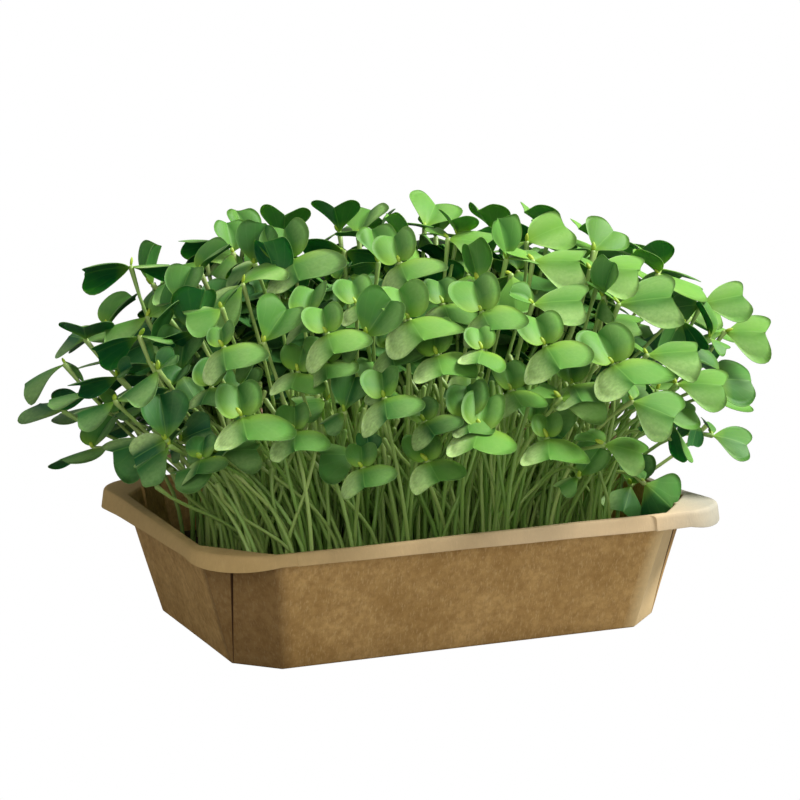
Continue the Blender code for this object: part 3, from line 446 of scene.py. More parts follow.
def stem_path(root, head, heading):
    """A stem that leaves the soil upright and arrives along its head's direction."""
    reach = (head - root).length * STEM_BEND
    first = root + UP * reach
    last = head - heading * reach
    path = [root - UP * STEM_ROOT_DEPTH]
    for step in range(STEM_STEPS + 1):
        t = step / STEM_STEPS
        path.append(root * (1 - t) ** 3 + first * 3 * t * (1 - t) ** 2
                    + last * 3 * t * t * (1 - t) + head * t ** 3)
    return [path[0], *path[2:]]


def stem_rings(path, radius):
    """Three-sided rings along a path, in a frame that is carried from ring to ring."""
    rings = []
    across = None
    for index, point in enumerate(path[:-1]):
        along = (path[index + 1] - path[max(index - 1, 0)]).normalized()
        if across is None:
            across = along.cross(FRAME_START).normalized()
        across = (across - along * across.dot(along)).normalized()
        other = along.cross(across)
        angles = [2 * math.pi * side / STEM_SIDES for side in range(STEM_SIDES)]
        rings.append([point + (across * math.cos(angle) + other * math.sin(angle)) * radius
                      for angle in angles])
    return rings


def zipped(lower, upper, vertices):
    """Triangles between a ring of three points and a ring of four, turned to fit best."""
    best = None
    low_middle = sum((vertices[index] for index in lower), Vector()) / len(lower)
    high_middle = sum((vertices[index] for index in upper), Vector()) / len(upper)
    for turn in range(len(upper)):
        turned = upper[turn:] + upper[:turn]
        faces = []
        reach = 0
        low = 0
        high = 0
        for step in range(len(lower) + len(upper)):
            here, there = lower[low % len(lower)], turned[high % len(upper)]
            if step % 2:
                faces.append((here, lower[(low + 1) % len(lower)], there))
                low += 1
            else:
                faces.append((here, turned[(high + 1) % len(upper)], there))
                high += 1
            reach += ((vertices[here] - low_middle) - (vertices[there] - high_middle)).length
        if best is None or reach < best[0]:
            best = (reach, faces)
    return best[1]


def seedling_mesh(root, head, heading, poses, outline, extra):
    """Stem, two leaves and bud as one skin; an extra width thickens it for clearance tests."""
    vertices = []
    faces = []
    rings = []
    for ring in stem_rings(stem_path(root, head, heading), STEM_RADIUS + extra):
        rings.append(list(range(len(vertices), len(vertices) + len(ring))))
        vertices.extend(ring)
    faces.append(tuple(reversed(rings[0])))
    for lower, upper in zip(rings, rings[1:]):
        for side in range(STEM_SIDES):
            following = (side + 1) % STEM_SIDES
            faces.append((lower[side], lower[following], upper[following]))
            faces.append((lower[side], upper[following], upper[side]))
    top = []
    bottom = []
    count = len(outline)
    for pose in poses:
        first = len(vertices)
        vertices.extend(leaf_points(head, pose, outline, LEAF_THICKNESS + 2 * extra))
        faces.extend(leaf_faces(first, count))
        top.extend((first, first + count - 1))
        bottom.extend((first + count + 1, first + 2 * count))
    faces.extend(zipped(rings[-1], bottom, vertices))
    for here in (1, 3):
        following = (here + 1) % 4
        faces.append((bottom[here], bottom[following], top[following]))
        faces.append((bottom[here], top[following], top[here]))
    vertices.append(head + heading * (BUD_HEIGHT + extra))
    for here in range(4):
        faces.append((top[here], top[(here + 1) % 4], len(vertices) - 1))
    return vertices, faces


def is_sound(vertices, faces):
    """True for a closed skin in which no two faces that share no point cut each other."""
    edges = [(face[index - 1], face[index]) for face in faces for index in range(len(face))]
    known = set(edges)
    if len(known) != len(edges) or any((end, start) not in known for start, end in edges):
        return False
    tree = BVHTree.FromPolygons(vertices, faces)
    return all(set(faces[one]) & set(faces[other]) for one, other in tree.overlap(tree))


# Stand of seedlings

def wanted_heads():
    """Every head seen in the front view: its place, line of sight, poses of leaves and outline."""
    toward = view_axes()[2]
    heads = []
    for across, up, behind, turn, tilt, back_size, front_size in FACING_HEADS:
        place = (across * MM, up * MM, dome_depth(across * MM, up * MM) + behind * MM)
        poses = facing_pair(toward, math.radians(turn), math.radians(tilt), back_size, front_size)
        heads.append((seen_at(*place), -toward, poses, LEAF_OUTLINE))
    for across, up, behind, *leaves in AIMED_HEADS:
        place = (across * MM, up * MM, dome_depth(across * MM, up * MM) + behind * MM)
        poses = [aimed_leaf(*(math.radians(value) for value in leaf[:3]), leaf[3]) for leaf in leaves]
        heads.append((seen_at(*place), -toward, poses, SIDE_OUTLINE))
    return heads


def back_heads(heads, draw):
    """Heads on the far side of the dome, spread evenly and facing outward."""
    toward = view_axes()[2]
    places = [head[0] for head in heads]
    made = []
    for _ in range(BACK_DRAWS):
        if len(made) == BACK_HEADS:
            break
        around = draw.uniform(0, 2 * math.pi)
        lift = draw.uniform(BACK_LOWEST, 1)
        flat = (1 - abs(lift) ** DOME_POWER) ** (1 / DOME_POWER)
        rise = DOME_RISE if lift > 0 else DOME_FALL
        place = Vector((math.cos(around) * DOME_HALF[0] * flat, math.sin(around) * DOME_HALF[1] * flat,
                        DOME_WAIST + lift * rise))
        if dome_normal(place).dot(toward) > BACK_FACING_MOST:
            continue
        if min((place - other).length for other in places) < BACK_SPACING:
            continue
        places.append(place)
        out = Vector((place.x * BACK_OUT_SHARE, place.y, 0))
        poses = facing_pair(out, draw.uniform(-BACK_TURN, BACK_TURN), draw.uniform(-BACK_TILT, BACK_TILT),
                            draw.uniform(*BACK_LEAF_SIZES), draw.uniform(*FRONT_LEAF_SIZES))
        made.append((place, -out.normalized(), poses, PLAIN_OUTLINE))
    return made


def opened(poses, amount):
    """The second leaf turned away from the first, until they stand clear of each other."""
    first, (midrib, face, size) = poses
    midrib = (midrib - first[0] * amount).normalized()
    return [first, (midrib, (face - midrib * face.dot(midrib)).normalized(), size)]


def swung(head, poses, angle):
    """The second leaf turned around the stem."""
    first, (midrib, face, size) = poses
    turn = Matrix.Rotation(angle, 3, stem_direction(head))
    return [first, (turn @ midrib, turn @ face, size)]


def stem_direction(head):
    """Upward in the middle of the dome, and more and more outward to its edge."""
    return (dome_normal(head) * DOME_LEAN + UP * DOME_UP).normalized()


def mirrored(head, poses):
    """The second leaf as the first one's counterpart on the other side of the stem."""
    axis = stem_direction(head)
    midrib = axis * 2 * axis.dot(poses[0][0]) - poses[0][0]
    face = axis - midrib * axis.dot(midrib)
    return [poses[0], (midrib, face.normalized(), poses[1][2])]


def heading_of(head, poses, wobble):
    """The stem's last direction: between the two leaves' faces, and outward from the dome."""
    return (poses[0][1] + poses[1][1] + stem_direction(head) * STEM_PULL + wobble).normalized()


def self_clear(root, head, poses, outline):
    """The pair of leaves opened as little as leaves them clear of each other and of the stem."""
    for start in (poses, mirrored(head, poses)):
        for step in range(OPENING_STEPS):
            tried = opened(start, step * OPENING_STEP)
            heading = heading_of(head, tried, Vector((0, 0, 0)))
            if is_sound(*seedling_mesh(root, head, heading, tried, outline, 0)):
                return tried
    return None


def grow_stand(around, places):
    """Finds for each head a plug and a free way up, and returns the seedlings plug by plug."""
    draw = random.Random(SEED)
    heads = wanted_heads()
    heads += back_heads(heads, draw)
    taken = [[] for _ in places]
    standing = [BVHTree.FromPolygons(*shape) for shape in around]
    for place, away, wanted, outline in heads:
        for attempt in range(ATTEMPTS):
            reach = attempt / ATTEMPTS
            slide = HEAD_SLIDE[0] + HEAD_SLIDE[1] * reach
            head = place + away * (draw.uniform(-NEARER_SHARE, 1) * slide if attempt else 0)
            wobble = Vector((draw.uniform(-1, 1), draw.uniform(-1, 1), draw.uniform(-WANDER_RISE, WANDER_RISE)))
            wobble *= reach
            aim = Vector((head.x * ROOT_SHARE[0], head.y * ROOT_SHARE[1], SOIL_TOP)) + wobble * ROOT_WANDER
            free = [index for index in range(len(places)) if len(taken[index]) < MOST_PER_PLUG]
            plug = min(free, key=lambda index: (places[index] - aim).xy.length)
            angle = 2 * math.pi * len(taken[plug]) / MOST_PER_PLUG + plug
            root = places[plug] + Vector((math.cos(angle), math.sin(angle), 0)) * ROOT_RING
            swing = draw.uniform(-1, 1) * reach * LEAF_SWING
            poses = self_clear(root, head, swung(head, wanted, swing), outline)
            if poses is None:
                continue
            heading = heading_of(head, poses, wobble * HEADING_WANDER)
            shrink = 1 - SHRINK_RATE * max(reach - SHRINK_AFTER, 0)
            poses = [(midrib, face, size * shrink) for midrib, face, size in poses]
            seedling = (root, head, heading, poses, outline)
            tree = BVHTree.FromPolygons(*seedling_mesh(*seedling, CLEARANCE / 2))
            if any(tree.overlap(other) for other in standing):
                continue
            if is_sound(*seedling_mesh(*seedling, 0)):
                standing.append(tree)
                taken[plug].append(seedling)
                break
    return taken, standing


# Fine mesh builder

class Skin:
    """Collects points, faces, material numbers, UVs and a tint for one mesh."""

    def __init__(self):
        self.points = []
        self.faces = []
        self.slots = []
        self.maps = []
        self.tints = []
        self.count = 0

    def add(self, points, faces, slot, maps, tints):
        self.points.append(np.asarray(points, float))
        self.faces.extend(tuple(index + self.count for index in face) for face in faces)
        self.slots.extend([slot] * len(faces))
        self.maps.append(np.asarray(maps, float))
        self.tints.append(np.asarray(tints, float))
        self.count += len(points)

    def build(self, name, materials, smooth_angle=None):
        mesh = bpy.data.meshes.new(name)
        points = np.concatenate(self.points)
        mesh.from_pydata(points.tolist(), [], self.faces)
        for material in materials:
            mesh.materials.append(material)
        mesh.polygons.foreach_set("material_index", self.slots)
        mesh.shade_smooth()
        corners = np.empty(len(mesh.loops), np.int32)
        mesh.loops.foreach_get("vertex_index", corners)
        layer = mesh.uv_layers.new(name="surface")
        layer.data.foreach_set("uv", np.concatenate(self.maps)[corners].ravel())
        tint = mesh.color_attributes.new("tint", "FLOAT_COLOR", "POINT")
        tint.data.foreach_set("color", np.concatenate(self.tints).ravel())
        if smooth_angle is not None:
            mesh.set_sharp_from_angle(angle=smooth_angle)
        mesh.update()
        made = bpy.data.objects.new(name, mesh)
        bpy.context.scene.collection.objects.link(made)
        return made


def grid_faces(rows, columns, closed=False, flip=False):
    """Quads of a grid of points, row by row; a closed grid joins its last column to its first."""
    faces = []
    last = columns if closed else columns - 1
    for row in range(rows - 1):
        for column in range(last):
            following = (column + 1) % columns
            face = (row * columns + column, row * columns + following,
                    (row + 1) * columns + following, (row + 1) * columns + column)
            faces.append(face[::-1] if flip else face)
    return faces


# Fine leaf: margins of a lobe from its base to the notch (along, aside), and where each rung starts

FULL_MARGIN = np.array((
    (0.00, 0.05), (-0.07, 0.19), (-0.13, 0.38), (-0.12, 0.60), (-0.01, 0.82),
    (0.16, 0.98), (0.37, 1.06), (0.59, 1.05), (0.78, 0.95), (0.91, 0.79),
    (0.98, 0.60), (0.97, 0.41), (0.92, 0.25), (0.86, 0.12), (0.81, 0.02),
))
NARROW_MARGIN = np.array((
    (0.00, 0.06), (0.07, 0.13), (0.16, 0.27), (0.26, 0.44), (0.37, 0.63),
    (0.49, 0.81), (0.62, 0.94), (0.76, 1.01), (0.90, 0.97), (1.01, 0.86),
    (1.08, 0.70), (1.09, 0.52), (1.05, 0.34), (0.98, 0.16), (0.91, 0.02),
))
RUNG_STARTS = (0.00, 0.03, 0.08, 0.14, 0.21, 0.29, 0.38, 0.47, 0.56, 0.65, 0.73, 0.81, 0.88, 0.94, 0.97)
FULLNESS = {LEAF_OUTLINE: (0.80, 1.08), SIDE_OUTLINE: (-0.05, 0.40), PLAIN_OUTLINE: (0.2, 0.8)}
MARGIN_SWELL = (0.06, 0.03)
LOBE_POINT = (-0.05, 0.12)
NOTCH_REACH = 0.5
NOTCH_EXTRA = (-0.05, 0.08)
RUNGS = 22
RUNG_STEPS = 5
LEAF_MIDDLE_THICKNESS = 0.42 * MM
LEAF_EDGE_THICKNESS = 0.16 * MM
LOBE_WIDTH = (0.92, 1.08)
LOBE_LENGTH = (-0.06, 0.08)
LOBE_FOLD = (0.8, 1.4)
LOBE_CURL = (0.5, 1.9)
RISING_DROOP = (0.6, 1.5)
HANGING_DROOP = (0.2, 0.9)
LEFT_LOBE_HANGS = (0.0, 0.4)
RIGHT_LOBE_HANGS = (-0.25, 0.1)
LEFT_LOBE_WIDTH = (0.70, 0.88)
RIGHT_LOBE_WIDTH = (1.0, 1.14)
NOTCH_FILL = 0.12
BLADE_TWIST = 1.3 * MM
EDGE_WAVE = (0.2 * MM, 0.9 * MM)


def lobe_margin(draw, fullness, rungs):
    """One lobe's margin: between the full and the narrow one, with swellings and a blunt point of its own."""
    full = draw.uniform(*fullness)
    margin = NARROW_MARGIN + (FULL_MARGIN - NARROW_MARGIN) * full
    span = np.linspace(0, len(margin) - 1, rungs)
    margin = np.stack([np.interp(span, np.arange(len(margin)), margin[:, part]) for part in range(2)], 1)
    smooth = margin.copy()
    smooth[1:-1] = (margin[:-2] + 2 * margin[1:-1] + margin[2:]) / 4
    share = np.linspace(0, 1, rungs)
    swell = sum(size * draw.uniform(-1, 1) * np.sin((turn + 1) * 2 * math.pi * share + draw.uniform(0, 6))
                for turn, size in enumerate(MARGIN_SWELL)) * np.sin(math.pi * share)
    point = draw.uniform(*LOBE_POINT) * np.exp(-((share - draw.uniform(0.45, 0.8)) / 0.09) ** 2)
    smooth[:, 0] += (smooth[:, 0] - 0.4) * (swell + point)
    smooth[:, 1] *= 1 + swell + point
    return smooth


def leaf_grid(draw, fullness, rungs, steps):
    """Places in the blade: along, aside, share from the midrib to the margin, share from base to notch."""
    right, left = lobe_margin(draw, fullness, rungs), lobe_margin(draw, fullness, rungs)
    start = np.interp(np.linspace(0, len(RUNG_STARTS) - 1, rungs), np.arange(len(RUNG_STARTS)), RUNG_STARTS)
    start = start * (right[-1, 0] + left[-1, 0]) / 2
    out = np.linspace(-1, 1, 2 * steps + 1)
    share = np.abs(out)
    tip = np.where(out[None] < 0, left[:, 0:1], right[:, 0:1])
    wide = np.where(out[None] < 0, left[:, 1:2], right[:, 1:2])
    along = start[:, None] * (1 - share) + tip * share
    from_base = np.repeat(np.linspace(0, 1, rungs)[:, None], len(out), 1)
    return along, wide * out, np.repeat(share[None], rungs, 0), from_base


def of_side(left, draw, span):
    """One value for the left lobe and another for the right one."""
    return np.where(left, draw.uniform(*span), draw.uniform(*span))


def add_leaf(skin, head, pose, draw, fullness, rungs, steps, slot, shade):
    """A notched blade folded at its midrib, whose two lobes differ in size, curl and wave."""
    midrib, face, size = pose
    side = face.cross(midrib)
    rising = rising_of(midrib)
    along, aside, share, from_base = leaf_grid(draw, fullness, rungs, steps)
    left = aside < 0
    notch = NOTCH_FILL - draw.uniform(*NOTCH_EXTRA)
    along = along + notch * np.clip(1 - np.abs(aside) / NOTCH_REACH, 0, 1) ** 1.5 * from_base ** 3
    beside = np.abs(aside)
    fold = of_side(left, draw, LOBE_FOLD) * fold_of(midrib) * LEAF_FOLD
    curl = of_side(left, draw, LOBE_CURL) * LEAF_CURL
    droop = draw.uniform(*RISING_DROOP) * rising + draw.uniform(*HANGING_DROOP) * (1 - rising)
    fold = fold - np.where(left, draw.uniform(*LEFT_LOBE_HANGS), draw.uniform(*RIGHT_LOBE_HANGS)) * (
        LEAF_FOLD * (1 - rising))
    twist = draw.uniform(-1, 1) * BLADE_TWIST
    wave = of_side(left, draw, EDGE_WAVE)
    phase = of_side(left, draw, (0, 2 * math.pi))
    height = fold * beside ** 0.8 - curl * beside ** 3 - droop * LEAF_DROOP * along ** 2 + twist * along * aside
    height = height + wave * beside ** 2 * np.sin(phase + 5.5 * from_base)
    long = along * (1 + of_side(left, draw, LOBE_LENGTH) * beside)
    hanging_width = np.where(left, draw.uniform(*LEFT_LOBE_WIDTH), draw.uniform(*RIGHT_LOBE_WIDTH))
    wide = aside * (of_side(left, draw, LOBE_WIDTH) * rising + hanging_width * (1 - rising))
    frame = np.array((midrib, side, face))
    flat = np.stack([long * LEAF_LENGTH * size, wide * half_width_of(midrib) * size, height * size], -1)
    origin = np.array(head + midrib * LEAF_OFFSET)
    middle = origin + flat @ frame
    thick = LEAF_EDGE_THICKNESS + (LEAF_MIDDLE_THICKNESS - LEAF_EDGE_THICKNESS) * (1 - share ** 2)
    lift = np.array(face) * thick[..., None] / 2
    rows, columns = along.shape
    across = np.gradient(middle, axis=1)
    length = np.gradient(middle, axis=0)
    normal = np.cross(length, across)
    normal /= np.linalg.norm(normal, axis=2, keepdims=True) + 1e-12
    # Painted sheen: a pale whitish reflection painted on faces turned to the front left, mostly on the left lobes of
    # hanging leaves, weaker on inner seedlings
    painted_sheen = np.clip(normal @ np.array(PAINTED_SHEEN_SIDE) * PAINTED_SHEEN_GAIN + PAINTED_SHEEN_START, 0, 1) * (1 - 0.8 * rising)
    painted_sheen = painted_sheen * np.where(left, 1.0, 0.35) * (1 if steps == RUNG_STEPS else 0.3)
    # Painted light: each face is painted lighter and yellower where it faces the key lamp, and deeper green where it
    # turns away
    painted_key_light = np.clip(normal @ np.array(PAINTED_LIGHT_FROM) * 0.5 + 0.5, 0, 1)
    tint = np.empty((rows, columns, 4))
    # Painted shade and light by place: leaves on the dome's left and low down are painted darker, high ones lighter
    place = LEFT_PAINTED_SHADE * min(head.x / DOME_HALF[0], 0) + HEIGHT_PAINTED_SHADE * (head.z - PAINTED_SHADE_LEVEL) / PAINTED_SHADE_LEVEL
    tint[..., 0] = np.clip(painted_key_light * 0.85 + (shade - 0.5) * 0.45 + place, 0, 1)
    tint[..., 1] = painted_sheen * np.clip(beside * 2.2 - 0.2, 0, 1)
    tint[..., 2] = share
    tint[..., 3] = 1
    # The underside: painted light where it faces the key lamp, painted shade by place, and no painted sheen
    under = tint.copy()
    under[..., 0] = np.clip((1 - painted_key_light) * 0.5 + (shade - 0.5) * 0.4 + place, 0, 1)
    under[..., 1] = 0
    maps = np.stack([aside * 0.5 + 0.5, along * 0.8 + 0.1], -1)
    count = rows * columns
    faces = grid_faces(rows, columns, flip=True)
    faces += [tuple(index + count for index in corner[::-1]) for corner in faces]
    rim = ([row * columns for row in range(rows)]
           + [(rows - 1) * columns + column for column in range(1, columns)]
           + [row * columns + columns - 1 for row in range(rows - 2, -1, -1)]
           + [column for column in range(columns - 2, 0, -1)])
    for index, here in enumerate(rim):
        there = rim[(index + 1) % len(rim)]
        faces.append((here, there, there + count, here + count))
    points = np.concatenate([(middle + lift).reshape(-1, 3), (middle - lift).reshape(-1, 3)])
    skin.add(points, faces, slot, np.concatenate([maps.reshape(-1, 2)] * 2),
             np.concatenate([tint.reshape(-1, 4), under.reshape(-1, 4)]))


STEM_RINGS = 13
STEM_FINE_SIDES = 7
STEM_FOOT_RADIUS = 0.68 * MM
STEM_NECK_RADIUS = 0.55 * MM
STEM_NODE_RADIUS = 0.90 * MM
STEM_SWAY = 0.5 * MM


def add_stem(skin, root, head, heading, draw, rings, sides, slot, shade):
    """A tube that thins upward and swells a little where its leaves start."""
    reach = (head - root).length * STEM_BEND
    first = root + UP * reach
    last = head - heading * reach
    sway = Vector((draw.uniform(-1, 1), draw.uniform(-1, 1), 0)) * STEM_SWAY
    path = [root - UP * 2 * MM]
    shares = [0.0]
    for step in range(rings):
        t = step / (rings - 1)
        point = (root * (1 - t) ** 3 + first * 3 * t * (1 - t) ** 2 + last * 3 * t * t * (1 - t) + head * t ** 3)
        path.append(point + sway * math.sin(2 * math.pi * t))
        shares.append(t)
    path.append(head + heading * 0.5 * MM)
    shares.append(1.0)
    across = None
    points, maps, tints = [], [], []
    for index, point in enumerate(path):
        along = (path[min(index + 1, len(path) - 1)] - path[max(index - 1, 0)]).normalized()
        if across is None:
            across = along.cross(FRAME_START).normalized()
        across = (across - along * across.dot(along)).normalized()
        other = along.cross(across)
        share = shares[index]
        radius = STEM_FOOT_RADIUS + (STEM_NECK_RADIUS - STEM_FOOT_RADIUS) * share
        radius += (STEM_NODE_RADIUS - STEM_NECK_RADIUS) * max(0, share * 12 - 11) ** 2
        if index == len(path) - 1:
            radius *= 0.55
        for corner in range(sides):
            angle = 2 * math.pi * corner / sides
            points.append(point + (across * math.cos(angle) + other * math.sin(angle)) * radius)
            maps.append((corner / sides, share))
            tints.append((shade, share, 0, 1))
    faces = grid_faces(len(path), sides, closed=True)
    faces.append(tuple(reversed(range(sides))))
    faces.append(tuple((len(path) - 1) * sides + corner for corner in range(sides)))
    skin.add(points, faces, slot, maps, tints)


BUD_ROWS = 7
BUD_SIDES = 8
BUD_LEANS_TO = Vector((-0.92, 0.39, 0))


def add_bud(skin, head, heading, poses, draw, slot, shade):
    """The folded young leaves: a small blunt oval that lies against the leaf that rises most."""
    rising = max(poses, key=lambda pose: pose[0].z)
    axis = heading * 0.35 + rising[0] * 0.8 + BUD_LEANS_TO * 0.4
    axis += Vector((draw.uniform(-1, 1), draw.uniform(-1, 1), draw.uniform(-1, 1))) * 0.22
    axis.normalize()
    side = axis.cross(rising[1]).normalized()
    other = axis.cross(side)
    length = draw.uniform(2.2, 3.3) * MM
    width = draw.uniform(0.62, 0.88) * MM
    start = head + rising[1] * 0.35 * MM
    points, maps, tints = [], [], []
    for row in range(BUD_ROWS):
        share = row / (BUD_ROWS - 1)
        radius = width * math.sqrt(max(1 - (2 * share - 1) ** 2, 0.02)) * (1.08 - 0.2 * share)
        centre = start + axis * length * share
        for corner in range(BUD_SIDES):
            angle = 2 * math.pi * corner / BUD_SIDES
            points.append(centre + (side * math.cos(angle) + other * math.sin(angle) * 0.7) * radius)
            maps.append((corner / BUD_SIDES, share))
            tints.append((shade, share, 0, 1))
    faces = grid_faces(BUD_ROWS, BUD_SIDES, closed=True)
    faces.append(tuple(reversed(range(BUD_SIDES))))
    faces.append(tuple((BUD_ROWS - 1) * BUD_SIDES + corner for corner in range(BUD_SIDES)))
    skin.add(points, faces, slot, maps, tints)


LEAF_SLOT, STEM_SLOT, BUD_SLOT = 0, 1, 2
# Painted sheen: the direction it is painted towards, how fast it grows, and where it starts
PAINTED_SHEEN_SIDE = (-0.85, 0.15, 0.45)
PAINTED_SHEEN_GAIN = 1.7
PAINTED_SHEEN_START = -0.35
# Direction of the key lamp, used to paint light and shade into the leaf colour
PAINTED_LIGHT_FROM = (0.652, -0.199, 0.731)
# Painted shade by place: how much darker on the left, how much by height, and the height where it is neutral
LEFT_PAINTED_SHADE = 0.36
HEIGHT_PAINTED_SHADE = 0.40
PAINTED_SHADE_LEVEL = 92 * MM


def add_seedling(skin, seedling, draw, fine=True):
    root, head, heading, poses, outline = seedling
    # Inner seedlings take a tone from a lower range: painted shade under the canopy
    shade = draw.uniform(0, 1) if fine else draw.uniform(*INNER_PAINTED_SHADE)
    rungs, steps = (RUNGS, RUNG_STEPS) if fine else (14, 3)
    add_stem(skin, root, head, heading, draw, STEM_RINGS if fine else 9, STEM_FINE_SIDES if fine else 5,
             STEM_SLOT, draw.uniform(0, 1))
    for pose in poses:
        tone = shade + draw.uniform(-0.15, 0.15)
        add_leaf(skin, head, pose, draw, FULLNESS[outline], rungs, steps, LEAF_SLOT, tone)
    if fine:
        add_bud(skin, head, heading, poses, draw, BUD_SLOT, shade)


# Inner seedlings and bare stems, which fill the stand between the tufts

FILL_SEED = 11
FILL_TRIES = 4200
FILL_MOST = 420
FILL_EDGE = 0.62
CROWDED_BEHIND = 4 * MM
# Tone range of inner seedlings, lower than the others: painted shade under the canopy
INNER_PAINTED_SHADE = (-0.5, 0.2)
FILL_AREA = (66 * MM, 38 * MM)


def fill_seedlings(standing):
    """Shorter seedlings below the canopy, placed by a seeded draw; those towards the front are kept clear of the
    others.
    """
    draw = random.Random(FILL_SEED)
    made = []
    for _ in range(FILL_TRIES):
        if len(made) == FILL_MOST:
            break
        root = Vector((draw.uniform(-1, 1) * FILL_AREA[0], draw.uniform(-0.7, 1) * FILL_AREA[1], SOIL_TOP))
        spread = draw.uniform(1.0, 1.35)
        flat = Vector((root.x * spread, root.y * spread, 0))
        flat += Vector((draw.uniform(-7, 7), draw.uniform(-7, 7), 0)) * MM
        share = (abs(flat.x) / DOME_HALF[0]) ** DOME_POWER + (abs(flat.y) / DOME_HALF[1]) ** DOME_POWER
        if share > FILL_EDGE:
            continue
        most = DOME_WAIST + DOME_RISE * (1 - share) ** (1 / DOME_POWER)
        head = flat + UP * (draw.uniform(0.60, 0.90) * most)
        out = Vector((flat.x * 0.6 + draw.uniform(-20, 20) * MM, flat.y - 25 * MM + draw.uniform(-20, 20) * MM, 0))
        poses = facing_pair(out, math.radians(draw.uniform(-60, 60)), math.radians(draw.uniform(-25, 25)),
                            draw.uniform(0.5, 0.9), draw.uniform(0.6, 1.0))
        heading = heading_of(head, poses, Vector((0, 0, 0)))
        tree = BVHTree.FromPolygons(*seedling_mesh(root, head, heading, poses, PLAIN_OUTLINE, 0))
        if head.y < CROWDED_BEHIND and any(tree.overlap(other) for other in standing):
            continue
        standing.append(tree)
        made.append((root, head, heading, poses, PLAIN_OUTLINE))
    print("fill", len(made))
    return made


def missing_seedlings(seedlings):
    """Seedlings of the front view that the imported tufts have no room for: they touch their neighbours."""
    made = []
    for place, away, poses, outline in wanted_heads():
        if any((seedling[1] - place).cross(away).length < 0.01 * MM for seedling in seedlings):
            continue
        head = place + away * 2 * MM
        root = Vector((head.x * ROOT_SHARE[0], head.y * ROOT_SHARE[1], SOIL_TOP))
        made.append((root, head, heading_of(head, poses, Vector((0, 0, 0))), poses, outline))
    print("missing", len(made))
    return made


BARE_SEED = 23
BARE_STEMS = 400


def bare_stems(skin):
    """Thin stems of seedlings whose leaves are lost in the stand."""
    draw = random.Random(BARE_SEED)
    for _ in range(BARE_STEMS):
        root = Vector((draw.uniform(-1, 1) * 64 * MM, -abs(draw.gauss(0, 1)) * 16 * MM - 2 * MM, SOIL_TOP))
        if draw.random() < 0.4:
            root.y = draw.uniform(-38, 38) * MM
        root.y = max(root.y, -39 * MM)
        head = Vector((root.x * 1.12 + draw.gauss(0, 14) * MM, root.y * 1.05 + draw.gauss(0, 6) * MM,
                       draw.uniform(58, 84) * MM))
        heading = (head - root).normalized() + Vector((draw.uniform(-0.4, 0.4), draw.uniform(-0.4, 0.4), 0))
        add_stem(skin, root, head, heading.normalized(), draw, 9, 5, 0, draw.uniform(0, 1))


HULL_SEED = 31
HULLS = 46


def add_hull(skin, place, axis, draw):
    """An empty seed coat: a small open cup, thin and wrinkled."""
    axis = axis.normalized()
    side = axis.cross(FRAME_START).normalized()
    other = axis.cross(side)
    points, maps, tints = [], [], []
    rows, sides = 5, 8
    shade = draw.random()
    for row in range(rows):
        share = row / (rows - 1)
        radius = math.sin(math.pi * (0.08 + 0.84 * share)) * 0.85 * MM
        for corner in range(sides):
            angle = 2 * math.pi * corner / sides
            rough = 1 + 0.15 * draw.uniform(-1, 1)
            points.append(place + axis * (share - 0.5) * 3.0 * MM
                          + (side * math.cos(angle) + other * math.sin(angle) * 0.55) * radius * rough)
            maps.append((corner / sides, share))
            tints.append((shade, share, 0, 1))
    faces = grid_faces(rows, sides, closed=True)
    faces.append(tuple(reversed(range(sides))))
    faces.append(tuple((rows - 1) * sides + corner for corner in range(sides)))
    skin.add(points, faces, 0, maps, tints)


def scatter_hulls(skin, seedlings):
    draw = random.Random(HULL_SEED)
    for _ in range(HULLS):
        root, head, heading, _, _ = draw.choice(seedlings)
        share = draw.uniform(0.45, 0.97)
        reach = (head - root).length * STEM_BEND
        first = root + UP * reach
        last = head - heading * reach
        point = (root * (1 - share) ** 3 + first * 3 * share * (1 - share) ** 2
                 + last * 3 * share * share * (1 - share) + head * share ** 3)
        aside = Vector((draw.uniform(-1, 1), draw.uniform(-1, 1), draw.uniform(-0.4, 0.4))).normalized()
        add_hull(skin, point + aside * 1.3 * MM, Vector((aside.y, -aside.x, draw.uniform(-1, 1))), draw)


# Tray of pressed board, with rounded folds

TRAY_HEIGHT = 39.8 * MM
BOARD = 0.8 * MM
FLOOR_HALF = (72.75 * MM, 44.2 * MM)
FLOOR_CHAMFER = (12.0 * MM, 12.0 * MM)
MOUTH_HALF = (84.0 * MM, 54.3 * MM)
MOUTH_CHAMFER = (17.0 * MM, 19.0 * MM)
RIM_HALF = (87.2 * MM, 55.5 * MM)
RIM_RADII = {"front_right": 13 * MM, "back_right": 20 * MM, "back_left": 12 * MM, "front_left": 22 * MM}
LIP_FLARE = 0.9 * MM
LIP_DROPS = {"front_right": 5.0 * MM, "back_right": 5.0 * MM, "back_left": 6.4 * MM, "front_left": 3.8 * MM}
CORNER_DIPS = {"front_right": 1.4 * MM, "back_right": 0.5 * MM, "back_left": 0.4 * MM, "front_left": 1.4 * MM}
RIGHT_BULGE = 2.2 * MM
LEFT_BULGE = 0.9 * MM
EAR_PLACE = 44.0 * MM
EAR_WIDTH = 9.0 * MM
EAR_STARTS = 70.0 * MM
EAR_GROWS = 15.0 * MM
PINCH = 3.4 * MM
PINCH_REACH = 50.0 * MM
FLANGE_PINCH = 1.3 * MM
SLIT_FOOT = 0.035
SLIT_HEAD = 0.44
SLIT_WIDTHS = {"front_right": 0.11, "back_right": 0.04, "back_left": 0.04, "front_left": 0.045}
SLIT_BORDER = 0.008
SLIT_DEPTH = 0.75 * MM
